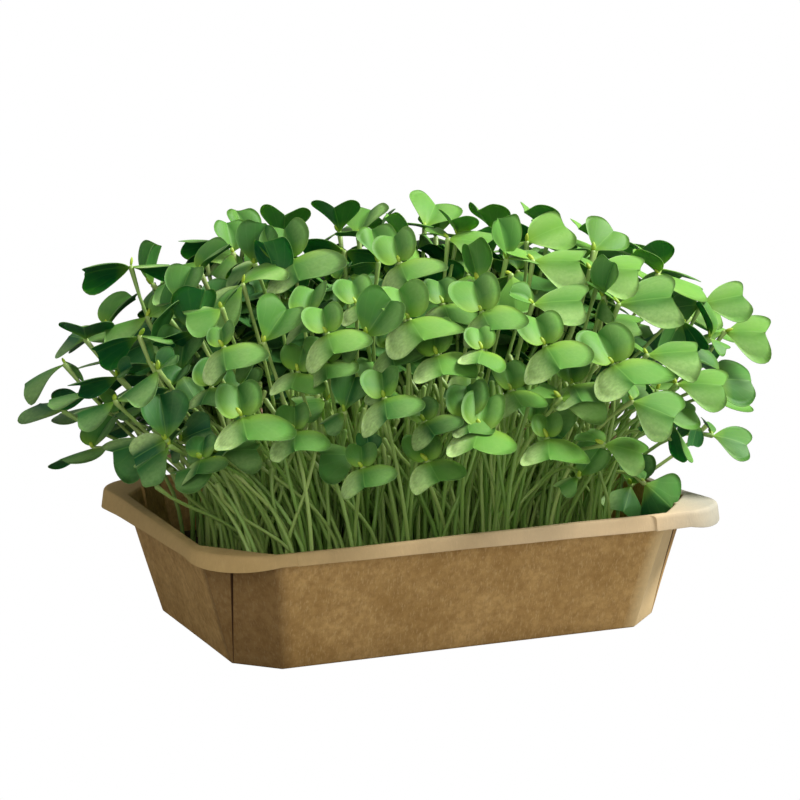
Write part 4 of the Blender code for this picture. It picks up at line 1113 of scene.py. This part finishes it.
CORNERS = (
    ("front_right", 1, -1, False),
    ("back_right", 1, 1, True),
    ("back_left", -1, 1, False),
    ("front_left", -1, -1, True),
)
SHORT_SIDE_STEPS = 16
LONG_SIDE_STEPS = 26
CORNER_STEPS = 6
SLIT_COLUMN = 5
# Painted shade in the slits and over the front-left pleat, painted light over the front-right pleat
SLIT_PAINTED_SHADE = ((-1, 0.92), (0, 1.0), (1, 0.92))
LEFT_PLEAT_PAINTED_SHADE = 0.52
RIGHT_PLEAT_PAINTED_LIGHT = 0.8
# Rows of the rim, painted a paler colour that partly stands for the light the lip catches from above
PALE_ROWS = (24, 25, 42, 43, 44)
PALE_SHARES = (0, 1, 1, 0.5, 0)
SEAM_HALF_WIDTH = 0.0012
SEAMS = ((0.037, 0.30 * MM), (0.357, 0.12 * MM), (0.911, 0.55 * MM))
SEAM_FADE = 0.10


def side_fractions(index):
    """Places along the side that follows a corner; the front side has a pair of them at each lip seam."""
    steps = LONG_SIDE_STEPS if index % 2 else SHORT_SIDE_STEPS
    places = [step / steps for step in range(1, steps)]
    if index == len(CORNERS) - 1:
        places = [place for place in places if all(abs(place - seam) > 0.015 for seam, _ in SEAMS)]
        for seam, _ in SEAMS:
            places += [seam - SEAM_HALF_WIDTH, seam + SEAM_HALF_WIDTH]
    return sorted(places)


def corner_fractions(slit, slit_width=0.04):
    """Places along a corner, counted from the short wall, with the slit's bottom, edges and borders."""
    half = slit_width * slit
    border = half + SLIT_BORDER
    places = [((slit - border) * step / 3, 0) for step in range(4)]
    places += [(slit - half, 0), (slit, 1), (slit + half, 0), (slit + border, 0)]
    rest = 1 - slit - border
    places += [(slit + border + rest * step / CORNER_STEPS, 0) for step in range(1, CORNER_STEPS + 1)]
    return places


def wall_ring(half, chamfer, height, slit, slit_depth):
    """One level of the walls: an eight-sided ring whose corners carry the slit."""
    ring = []
    for name, sx, sy, starts_at_short_wall in CORNERS:
        at_short_wall = Vector((sx * half[0], sy * (half[1] - chamfer[1]), height))
        at_long_wall = Vector((sx * (half[0] - chamfer[0]), sy * half[1], height))
        inward = Vector((-sx * chamfer[1], -sy * chamfer[0], 0)).normalized()
        points = []
        for fraction, at_slit in corner_fractions(slit, SLIT_WIDTHS[name]):
            points.append(at_short_wall.lerp(at_long_wall, fraction) + inward * slit_depth * at_slit)
        if not starts_at_short_wall:
            points.reverse()
        ring.append(points)
    return close_ring(ring)


def rim_ring(half, radii, heights, dips):
    """One level of the rim: a rounded outline, with its height and its dip at each corner."""
    ring = []
    for name, sx, sy, starts_at_short_wall in CORNERS:
        radius = radii[name]
        centre = Vector((sx * (half[0] - radius), sy * (half[1] - radius), heights[name]))
        count = len(corner_fractions(SLIT_HEAD)) - 1
        points = []
        for step in range(count + 1):
            angle = math.pi / 2 * step / count
            outward = Vector((sx * math.cos(angle), sy * math.sin(angle), 0))
            points.append(centre + outward * radius - UP * dips[name] * math.sin(2 * angle))
        if not starts_at_short_wall:
            points.reverse()
        ring.append(points)
    return close_ring(ring)


def close_ring(corners):
    """Joins four corners with points along the sides between them."""
    ring = []
    for index, points in enumerate(corners):
        ring.extend(points)
        following = corners[(index + 1) % len(corners)][0]
        ring.extend(points[-1].lerp(following, fraction) for fraction in side_fractions(index))
    return ring


def pinch_share(y):
    """How far the right wall is pressed in at a place along it, as a share of the most."""
    return (1 - (y / PINCH_REACH) ** 2) ** 2 if abs(y) < PINCH_REACH else 0


def pressed_in(point, flange):
    """The right wall is pressed in at its middle, and the rim bulges a little towards its corners."""
    height_share = max(point.z, 0) / TRAY_HEIGHT
    moved = point.copy()
    if point.x > 0:
        moved.x -= (PINCH * height_share ** 2 + FLANGE_PINCH * flange) * pinch_share(point.y)
    if flange:
        outer = min(max((abs(point.x) - EAR_STARTS) / EAR_GROWS, 0), 1)
        bulge = outer * math.exp(-((abs(point.y) - EAR_PLACE) / EAR_WIDTH) ** 2)
        moved.x += RIGHT_BULGE * bulge if point.x > 0 else -LEFT_BULGE * bulge
    return moved


def level(value):
    """The same value at every corner."""
    return {name: value for name, _, _, _ in CORNERS}


def grown(radii, by):
    """Corner radii made larger or smaller by a length."""
    return {name: radius + by for name, radius in radii.items()}


def rounded(profile, radii, segments):
    """A profile with its corners rounded and its long parts divided."""
    points = [profile[0]]
    for index in range(1, len(profile) - 1):
        before, here, after = profile[index - 1], profile[index], profile[index + 1]
        radius = radii[index]
        start = here + (before - here).normalized() * min(radius, (before - here).length * 0.45)
        end = here + (after - here).normalized() * min(radius, (after - here).length * 0.45)
        points.append(start)
        for step in (1, 2, 3):
            t = step / 4
            points.append(start * (1 - t) ** 2 + here * 2 * t * (1 - t) + end * t * t)
        points.append(end)
    points.append(profile[-1])
    divided = [points[0]]
    for index in range(1, len(points)):
        count = segments.get(index, 1)
        divided.extend(points[index - 1].lerp(points[index], step / count) for step in range(1, count + 1))
    return divided


def seam_step(point, fraction):
    """A lip that ends at a seam overlaps the next one: it stands a little proud, less and less further on."""
    lift = 0
    for seam, height in SEAMS:
        past = fraction - seam
        if 0 < past < SEAM_FADE:
            lift = max(lift, height * (1 - past / SEAM_FADE))
    return Vector((0, -lift, -0.3 * lift))


def facet_tints(count):
    """Painted shade and painted light on the walls at each column: painted shade over the front-left pleat and along
    both front slits, painted light over the front-right pleat between the front wall and its slit.
    """
    at_right = len(corner_fractions(SLIT_FOOT))
    at_left = count - len(side_fractions(len(CORNERS) - 1)) - at_right
    painted_shade, painted_light = [0.0] * count, [0.0] * count
    for column in range(at_right):
        painted_shade[at_left + column] = LEFT_PLEAT_PAINTED_SHADE
        painted_light[column] = RIGHT_PLEAT_PAINTED_LIGHT if column < at_right - 1 - SLIT_COLUMN else 0
    for beside, shade in SLIT_PAINTED_SHADE:
        painted_shade[at_left + SLIT_COLUMN + beside] = shade
        painted_shade[at_right - 1 - SLIT_COLUMN + beside] = shade
    return painted_shade, painted_light


def build_board(material):
    under = TRAY_HEIGHT - BOARD
    lip_foot = {name: TRAY_HEIGHT - drop for name, drop in LIP_DROPS.items()}
    fold_in = BOARD * 3 / 4
    inset = 3 * MM
    rings = [
        (wall_ring([v - inset for v in FLOOR_HALF], FLOOR_CHAMFER, 0, SLIT_FOOT, 0), 0),
        (wall_ring(FLOOR_HALF, FLOOR_CHAMFER, 0, SLIT_FOOT, 0), 0),
        (wall_ring([v + BOARD / 4 for v in MOUTH_HALF], MOUTH_CHAMFER, under, SLIT_HEAD, SLIT_DEPTH), 0),
        (rim_ring([v - fold_in for v in RIM_HALF], grown(RIM_RADII, -fold_in), level(under), level(0)), 1),
        (rim_ring([v + LIP_FLARE - BOARD for v in RIM_HALF], grown(RIM_RADII, LIP_FLARE - BOARD), lip_foot,
                  CORNER_DIPS), 1),
        (rim_ring([v + LIP_FLARE for v in RIM_HALF], grown(RIM_RADII, LIP_FLARE), lip_foot, CORNER_DIPS), 1),
        (rim_ring(RIM_HALF, RIM_RADII, level(TRAY_HEIGHT), level(0)), 1),
        (wall_ring([v - BOARD for v in MOUTH_HALF], MOUTH_CHAMFER, TRAY_HEIGHT, SLIT_HEAD, SLIT_DEPTH), 0),
        (wall_ring([v - BOARD / 2 for v in FLOOR_HALF], FLOOR_CHAMFER, BOARD, SLIT_FOOT, 0), 0),
        (wall_ring([v - inset for v in FLOOR_HALF], FLOOR_CHAMFER, BOARD, SLIT_FOOT, 0), 0),
    ]
    radii = [0, 0.8 * MM, 1.0 * MM, 0.5 * MM, 0.3 * MM, 0.35 * MM, 1.5 * MM, 1.1 * MM, 0.8 * MM, 0]
    segments = {6: 10, 26: 2, 36: 8}
    front_start = len(rings[0][0]) - len(side_fractions(len(CORNERS) - 1))
    fractions = side_fractions(len(CORNERS) - 1)
    columns = []
    for column in range(len(rings[0][0])):
        profile = []
        for ring, flange in rings:
            point = pressed_in(ring[column], flange)
            if flange and column >= front_start:
                point += seam_step(point, fractions[column - front_start])
            profile.append(point)
        columns.append(rounded(profile, radii, segments))
    rows = len(columns[0])
    count = len(columns)
    points = []
    for row in range(rows):
        for column in range(count):
            point = columns[column][row]
            ripple = noise.noise_vector(point / (30 * MM)) * 0.35 * MM
            share = min(max(point.z / (8 * MM), 0), 1)
            points.append(point + Vector((ripple.x, ripple.y, ripple.z * 0.5)) * share)
    faces = grid_faces(rows, count, closed=True)
    faces.append(tuple(reversed(range(count))))
    faces.append(tuple((rows - 1) * count + column for column in range(count)))
    skin = Skin()
    # Per column: painted shade and painted light; per row: the rim share, whose paler colour is partly painted light
    painted_shade, painted_light = facet_tints(count)
    tints = []
    for row in range(rows):
        pale = np.interp(row, PALE_ROWS, PALE_SHARES)
        for column in range(count):
            tints.append((painted_shade[column], pale, painted_light[column], 1))
    maps = [(column / count, row / rows) for row in range(rows) for column in range(count)]
    skin.add(points, faces, 0, maps, tints)
    return skin.build("pressed_board", [material], math.radians(24))


# Growing medium

MEDIUM_STEP = 1.5 * MM


def build_medium(material):
    """A lumpy bed of fibres and crumbs that fills the tray between its walls."""
    shape = bmesh.new()
    low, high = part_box("growing_medium")
    columns = round((high.x - low.x) / MEDIUM_STEP)
    rows = round((high.y - low.y) / MEDIUM_STEP)
    grid = []
    for row in range(rows + 1):
        grid.append([])
        for column in range(columns + 1):
            u = 2 * column / columns - 1
            v = 2 * row / rows - 1
            point = on_slab(u, v, SOIL_TOP, 1.2 * MM)
            place = point / (5 * MM)
            lump = noise.fractal(place, 0.8, 2.2, 4) * 1.3 + abs(noise.noise(point / (1.6 * MM))) * 0.9
            edge = min(1, 6 * (1 - max(abs(u), abs(v))))
            point.z += lump * MM * edge
            grid[-1].append(shape.verts.new(point))
    for row in range(rows):
        for column in range(columns):
            shape.faces.new((grid[row][column], grid[row][column + 1], grid[row + 1][column + 1], grid[row + 1][column]))
    around = ([(0, column) for column in range(columns)] + [(row, columns) for row in range(rows)]
              + [(rows, column) for column in range(columns, 0, -1)] + [(row, 0) for row in range(rows, 0, -1)])
    border = [grid[row][column] for row, column in around]
    bottom = []
    for row, column in around:
        foot = on_slab(2 * column / columns - 1, 2 * row / rows - 1, BOARD + 0.4 * MM, 1.4 * MM)
        bottom.append(shape.verts.new(foot))
    for index in range(len(border)):
        following = (index + 1) % len(border)
        shape.faces.new((bottom[index], bottom[following], border[following], border[index]))
    shape.faces.new(list(reversed(bottom)))
    mesh = bpy.data.meshes.new("crumbly_medium")
    shape.to_mesh(mesh)
    shape.free()
    mesh.materials.append(material)
    mesh.shade_smooth()
    made = bpy.data.objects.new("crumbly_medium", mesh)
    bpy.context.scene.collection.objects.link(made)
    return made


# Materials

def linear(value):
    value /= 255
    return value / 12.92 if value <= 0.04045 else ((value + 0.055) / 1.055) ** 2.4


def colour(red, green, blue):
    """A colour from screen values of 0 to 255."""
    return (linear(red), linear(green), linear(blue), 1.0)


class Paint:
    """A small helper that adds nodes to one material."""

    def __init__(self, name):
        self.material = bpy.data.materials.new(name)
        self.material.use_nodes = True
        self.tree = self.material.node_tree
        self.shader = self.tree.nodes["Principled BSDF"]

    def node(self, kind, settings=None, **inputs):
        made = self.tree.nodes.new(kind)
        for name, value in (settings or {}).items():
            setattr(made, name, value)
        for name, value in inputs.items():
            self.put(made.inputs[name.replace("_", " ")], value)
        return made

    def put(self, socket, value):
        if hasattr(value, "links"):
            self.tree.links.new(value, socket)
        else:
            socket.default_value = value

    def mix(self, share, first, second, blend="MIX"):
        made = self.tree.nodes.new("ShaderNodeMix")
        made.data_type = "RGBA"
        made.blend_type = blend
        self.put(made.inputs[0], share)
        self.put(made.inputs[6], first)
        self.put(made.inputs[7], second)
        return made.outputs[2]

    def math(self, operation, first, second=0.0, clamp=False):
        made = self.tree.nodes.new("ShaderNodeMath")
        made.operation = operation
        made.use_clamp = clamp
        self.put(made.inputs[0], first)
        self.put(made.inputs[1], second)
        return made.outputs[0]

    def ramp(self, value, low, high, from_value=0.0, to_value=1.0):
        made = self.tree.nodes.new("ShaderNodeMapRange")
        self.put(made.inputs["Value"], value)
        made.inputs["From Min"].default_value = low
        made.inputs["From Max"].default_value = high
        made.inputs["To Min"].default_value = from_value
        made.inputs["To Max"].default_value = to_value
        return made.outputs["Result"]

    def place(self, stretch=(1, 1, 1), turn=(0, 0, 0)):
        """Object coordinates, stretched and turned."""
        where = self.node("ShaderNodeTexCoord").outputs["Object"]
        mapping = self.node("ShaderNodeMapping")
        self.put(mapping.inputs["Vector"], where)
        mapping.inputs["Scale"].default_value = stretch
        mapping.inputs["Rotation"].default_value = turn
        return mapping.outputs["Vector"]

    def noise(self, scale, detail=3.0, vector=None, distortion=0.0, roughness=0.5):
        made = self.tree.nodes.new("ShaderNodeTexNoise")
        made.inputs["Scale"].default_value = scale
        made.inputs["Detail"].default_value = detail
        made.inputs["Distortion"].default_value = distortion
        made.inputs["Roughness"].default_value = roughness
        self.put(made.inputs["Vector"], vector if vector is not None else self.place())
        return made.outputs["Fac"]

    def bump(self, height, strength, distance):
        made = self.tree.nodes.new("ShaderNodeBump")
        self.put(made.inputs["Height"], height)
        made.inputs["Strength"].default_value = strength
        made.inputs["Distance"].default_value = distance
        return made.outputs["Normal"]


def tint_parts(paint):
    made = paint.tree.nodes.new("ShaderNodeAttribute")
    made.attribute_name = "tint"
    split = paint.tree.nodes.new("ShaderNodeSeparateColor")
    paint.tree.links.new(made.outputs["Color"], split.inputs["Color"])
    return split.outputs


def surface_parts(paint):
    made = paint.tree.nodes.new("ShaderNodeUVMap")
    made.uv_map = "surface"
    split = paint.tree.nodes.new("ShaderNodeSeparateXYZ")
    paint.tree.links.new(made.outputs["UV"], split.inputs["Vector"])
    return split.outputs


def leaf_material():
    paint = Paint("seed_leaf")
    tint = tint_parts(paint)
    painted_key_light, painted_sheen, share = tint[0], tint[1], tint[2]
    surface = surface_parts(paint)
    aside = paint.math("SUBTRACT", surface[0], 0.5)
    along = surface[1]
    # Painted light and shade: deep green where the leaf turns from the key lamp, light yellow-green where it faces it
    base = paint.mix(painted_key_light, colour(8, 80, 42), colour(121, 174, 70))
    patch = paint.ramp(paint.noise(110, 3), 0.35, 0.7)
    base = paint.mix(paint.math("MULTIPLY", patch, 0.30), base, colour(56, 140, 52))
    beside = paint.math("ABSOLUTE", aside)
    angle = paint.math("ARCTAN2", aside, along)
    turned = paint.math("ADD", paint.math("MULTIPLY", angle, 26.0), paint.math("MULTIPLY", paint.noise(140, 2), 5.0))
    vein = paint.ramp(paint.math("SINE", turned), 0.86, 1.0)
    base = paint.mix(paint.math("MULTIPLY", vein, 0.05), base, colour(150, 195, 110))
    rib = paint.ramp(beside, 0.0, 0.016, 1.0, 0.0)
    base = paint.mix(paint.math("MULTIPLY", rib, 0.40), base, colour(140, 188, 96))
    base_glow = paint.ramp(along, 0.1, 0.36, 0.55, 0.0)
    base = paint.mix(base_glow, base, colour(140, 180, 48))
    # Painted sheen: pale, speckled colour where the tint's green part is high
    fine = paint.noise(900, 2)
    pale = paint.math("MULTIPLY", painted_sheen, paint.ramp(fine, 0.25, 0.75, 0.6, 1.0))
    base = paint.mix(paint.math("MULTIPLY", pale, 0.92), base, colour(208, 242, 156))
    edge = paint.ramp(share, 0.95, 1.0, 0.0, 0.25)
    base = paint.mix(edge, base, colour(146, 196, 104))
    paint.put(paint.shader.inputs["Base Color"], base)
    paint.shader.inputs["Roughness"].default_value = 0.52
    paint.shader.inputs["Specular IOR Level"].default_value = 0.22
    paint.shader.inputs["Subsurface Weight"].default_value = 0.25
    paint.shader.inputs["Subsurface Radius"].default_value = (0.7, 1.0, 0.25)
    paint.shader.inputs["Subsurface Scale"].default_value = 1.2 * MM
    height = paint.math("ADD", paint.math("MULTIPLY", vein, 0.4), paint.noise(700, 3))
    paint.put(paint.shader.inputs["Normal"], paint.bump(height, 0.15, 0.12 * MM))
    return paint.material


def stem_material():
    paint = Paint("seedling_stem")
    shade, share = tint_parts(paint)[0], tint_parts(paint)[1]
    base = paint.mix(shade, colour(138, 182, 84), colour(196, 222, 128))
    base = paint.mix(paint.ramp(share, 0.0, 0.16, 0.35, 0.0), base, colour(150, 158, 100))
    upper = paint.math("MULTIPLY", paint.ramp(share, 0.55, 0.95), paint.ramp(paint.noise(60, 2), 0.42, 0.62))
    base = paint.mix(paint.math("MULTIPLY", upper, 0.25), base, colour(172, 168, 112))
    streak = paint.noise(500, 2, paint.place((1, 1, 0.15)))
    base = paint.mix(paint.math("MULTIPLY", streak, 0.3), base, colour(92, 134, 58))
    paint.put(paint.shader.inputs["Base Color"], base)
    paint.shader.inputs["Roughness"].default_value = 0.42
    paint.shader.inputs["Subsurface Weight"].default_value = 0.25
    paint.shader.inputs["Subsurface Radius"].default_value = (0.8, 1.0, 0.3)
    paint.shader.inputs["Subsurface Scale"].default_value = 1.0 * MM
    paint.put(paint.shader.inputs["Normal"], paint.bump(streak, 0.25, 0.1 * MM))
    return paint.material


def bud_material():
    paint = Paint("young_bud")
    shade = tint_parts(paint)[0]
    base = paint.mix(shade, colour(150, 185, 40), colour(190, 210, 60))
    base = paint.mix(paint.ramp(paint.noise(600, 2), 0.4, 0.7, 0.0, 0.5), base, colour(120, 165, 40))
    paint.put(paint.shader.inputs["Base Color"], base)
    paint.shader.inputs["Roughness"].default_value = 0.5
    paint.shader.inputs["Subsurface Weight"].default_value = 0.3
    paint.shader.inputs["Subsurface Radius"].default_value = (0.9, 1.0, 0.2)
    paint.shader.inputs["Subsurface Scale"].default_value = 1.0 * MM
    return paint.material


def hull_material():
    paint = Paint("seed_coat")
    shade = tint_parts(paint)[0]
    base = paint.mix(shade, colour(150, 105, 75), colour(205, 165, 135))
    base = paint.mix(paint.ramp(paint.noise(900, 3), 0.4, 0.7, 0.0, 0.6), base, colour(110, 75, 50))
    paint.put(paint.shader.inputs["Base Color"], base)
    paint.shader.inputs["Roughness"].default_value = 0.7
    return paint.material


def board_material():
    """Brown board: cloudy colour, short fibres lying every way; a paler rim whose colour is partly painted light
    where the lip catches light from above, darker towards the left as painted shade; painted shade in the front-left
    pleat and the slits, painted light on the front-right pleat.
    """
    paint = Paint("kraft_board")
    cloud = paint.ramp(paint.noise(75, 5, roughness=0.6), 0.34, 0.68)
    base = paint.mix(cloud, colour(182, 142, 83), colour(213, 172, 110))
    fleck = paint.ramp(paint.noise(420, 4, roughness=0.65), 0.38, 0.66)
    base = paint.mix(paint.math("MULTIPLY", fleck, 0.55), base, colour(152, 113, 62))
    fibres = None
    for turn, stretch in ((0.3, 0.12), (1.25, 0.15), (2.2, 0.12)):
        vector = paint.place((1, 1, stretch), (turn, turn * 0.7, turn))
        strand = paint.ramp(paint.noise(1500, 2, vector), 0.60, 0.72)
        fibres = strand if fibres is None else paint.math("MAXIMUM", fibres, strand)
    base = paint.mix(paint.math("MULTIPLY", fibres, 0.4), base, colour(224, 190, 134))
    where = paint.tree.nodes.new("ShaderNodeSeparateXYZ")
    paint.put(where.inputs["Vector"], paint.place())
    tint = tint_parts(paint)
    wall = paint.math("SUBTRACT", 1.0, tint[1])
    # Painted shade at the front-left pleat and the slits, painted light on the front-right pleat; walls only
    base = paint.mix(paint.math("MULTIPLY", tint[0], wall), base, colour(60, 32, 10))
    base = paint.mix(paint.math("MULTIPLY", tint[2], wall), base, colour(240, 212, 160))
    # Rim colour: paler, partly painted light; darker towards the left as painted shade; greyer towards the right ear
    rim = paint.mix(paint.ramp(where.outputs["X"], -75 * MM, 20 * MM), colour(196, 166, 112), colour(232, 206, 166))
    rim = paint.mix(paint.ramp(where.outputs["X"], 60 * MM, 84 * MM), rim, colour(180, 184, 172))
    base = paint.mix(paint.math("MULTIPLY", tint[1], 0.75), base, rim)
    paint.put(paint.shader.inputs["Base Color"], base)
    paint.shader.inputs["Roughness"].default_value = 0.78
    paint.shader.inputs["Specular IOR Level"].default_value = 0.25
    height = paint.math("ADD", paint.noise(700, 4), paint.math("MULTIPLY", fibres, 0.5))
    paint.put(paint.shader.inputs["Normal"], paint.bump(height, 0.3, 0.12 * MM))
    return paint.material


def medium_material():
    paint = Paint("medium_crumb")
    base = paint.mix(paint.ramp(paint.noise(500, 5), 0.35, 0.65), colour(38, 26, 16), colour(78, 56, 36))
    base = paint.mix(paint.ramp(paint.noise(1400, 2), 0.66, 0.74, 0.0, 0.7), base, colour(140, 110, 75))
    paint.put(paint.shader.inputs["Base Color"], base)
    paint.shader.inputs["Roughness"].default_value = 0.9
    paint.put(paint.shader.inputs["Normal"], paint.bump(paint.noise(900, 5), 0.6, 0.5 * MM))
    return paint.material


# Studio

FLOOR_SIZE = 12.0
KEY_FROM = Vector((0.652, -0.199, 0.731))
KEY_DISTANCE = 1.6
KEY_SIZE = 0.7
KEY_POWER = 40.0
FILL_FROM = Vector((-0.75, -1.0, 0.55))
FILL_POWER = 6.0


def camera_only(tree, shown, other):
    """Shows one shader to the eye and lights the object with another."""
    path = tree.nodes.new("ShaderNodeLightPath")
    mix = tree.nodes.new("ShaderNodeMixShader")
    tree.links.new(path.outputs["Is Camera Ray"], mix.inputs[0])
    tree.links.new(other, mix.inputs[1])
    tree.links.new(shown, mix.inputs[2])
    return mix.outputs[0]


def build_studio():
    scene = bpy.context.scene
    scene.view_settings.view_transform = "Standard"
    scene.view_settings.look = "None"
    world = bpy.data.worlds.new("studio")
    world.use_nodes = True
    scene.world = world
    tree = world.node_tree
    soft = tree.nodes["Background"]
    soft.inputs["Color"].default_value = (0.97, 0.98, 0.93, 1.0)
    soft.inputs["Strength"].default_value = 0.36
    white = tree.nodes.new("ShaderNodeBackground")
    white.inputs["Color"].default_value = (1, 1, 1, 1)
    tree.links.new(camera_only(tree, white.outputs[0], soft.outputs[0]), tree.nodes["World Output"].inputs["Surface"])

    mesh = bpy.data.meshes.new("floor")
    half = FLOOR_SIZE / 2
    mesh.from_pydata([(-half, -half, 0), (half, -half, 0), (half, half, 0), (-half, half, 0)], [], [(0, 1, 2, 3)])
    floor = bpy.data.objects.new("floor", mesh)
    scene.collection.objects.link(floor)
    paint = Paint("pale_floor")
    paint.shader.inputs["Base Color"].default_value = (0.30, 0.30, 0.29, 1)
    paint.shader.inputs["Roughness"].default_value = 1.0
    pale = paint.tree.nodes.new("ShaderNodeEmission")
    pale.inputs["Strength"].default_value = 1.0
    output = paint.tree.nodes["Material Output"]
    paint.tree.links.new(camera_only(paint.tree, pale.outputs[0], paint.shader.outputs[0]), output.inputs["Surface"])
    mesh.materials.append(paint.material)

    for name, start, power, size in (("key", KEY_FROM, KEY_POWER, KEY_SIZE), ("fill", FILL_FROM, FILL_POWER, 1.2)):
        data = bpy.data.lights.new(name, "AREA")
        data.energy = power
        data.shape = "DISK"
        data.size = size
        lamp = bpy.data.objects.new(name, data)
        lamp.location = VIEW_CENTRE + start.normalized() * KEY_DISTANCE
        lamp.rotation_euler = start.to_track_quat("Z", "Y").to_euler()
        scene.collection.objects.link(lamp)

    data = bpy.data.cameras.new("camera")
    data.lens = 171.0
    data.sensor_width = 36.0
    camera = bpy.data.objects.new("camera", data)
    right, upward, toward = view_axes()
    camera.matrix_world = Matrix.Translation(VIEW_CENTRE + toward * VIEW_DISTANCE) @ Matrix(
        (right, upward, toward)).transposed().to_4x4()
    scene.collection.objects.link(camera)
    scene.camera = camera


def mesh_of(node):
    data = node.data
    return ([vertex.co.copy() for vertex in data.vertices], [tuple(face.vertices) for face in data.polygons])


def main():
    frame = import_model()
    nodes = frame["nodes"]
    leaf, stem, bud = leaf_material(), stem_material(), bud_material()
    places = plug_places()
    around = [mesh_of(nodes["tray"]), mesh_of(nodes["growing_medium"])]
    taken, standing = grow_stand(around, places)
    seedlings = []
    for index, group in enumerate(taken):
        if not group:
            continue
        name = f"sprout_tuft_{index + 1:02d}"
        skin = Skin()
        draw = random.Random(SEED * 1000 + index)
        for seedling in group:
            add_seedling(skin, seedling, draw)
            seedlings.append(seedling)
        piece = skin.build(f"sprouts_{index + 1:02d}", [leaf, stem, bud])
        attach(piece, "root")
        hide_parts(name)
    skin = Skin()
    draw = random.Random(SEED)
    for seedling in missing_seedlings(seedlings):
        add_seedling(skin, seedling, draw)
    piece = skin.build("crowded_sprouts", [leaf, stem, bud])
    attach(piece, "root")
    fill = fill_seedlings(standing)
    draw = random.Random(FILL_SEED)
    for start in range(0, len(fill), 24):
        skin = Skin()
        for seedling in fill[start:start + 24]:
            add_seedling(skin, seedling, draw, fine=False)
        piece = skin.build(f"inner_sprouts_{start // 24 + 1}", [leaf, stem])
        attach(piece, "root")
    skin = Skin()
    bare_stems(skin)
    piece = skin.build("bare_stems", [stem])
    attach(piece, "root")
    skin = Skin()
    scatter_hulls(skin, seedlings)
    piece = skin.build("seed_coats", [hull_material()])
    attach(piece, "root")
    board = build_board(board_material())
    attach(board, "root")
    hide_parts("tray")
    medium = build_medium(medium_material())
    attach(medium, "root")
    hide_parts("growing_medium")
    build_studio()


main()
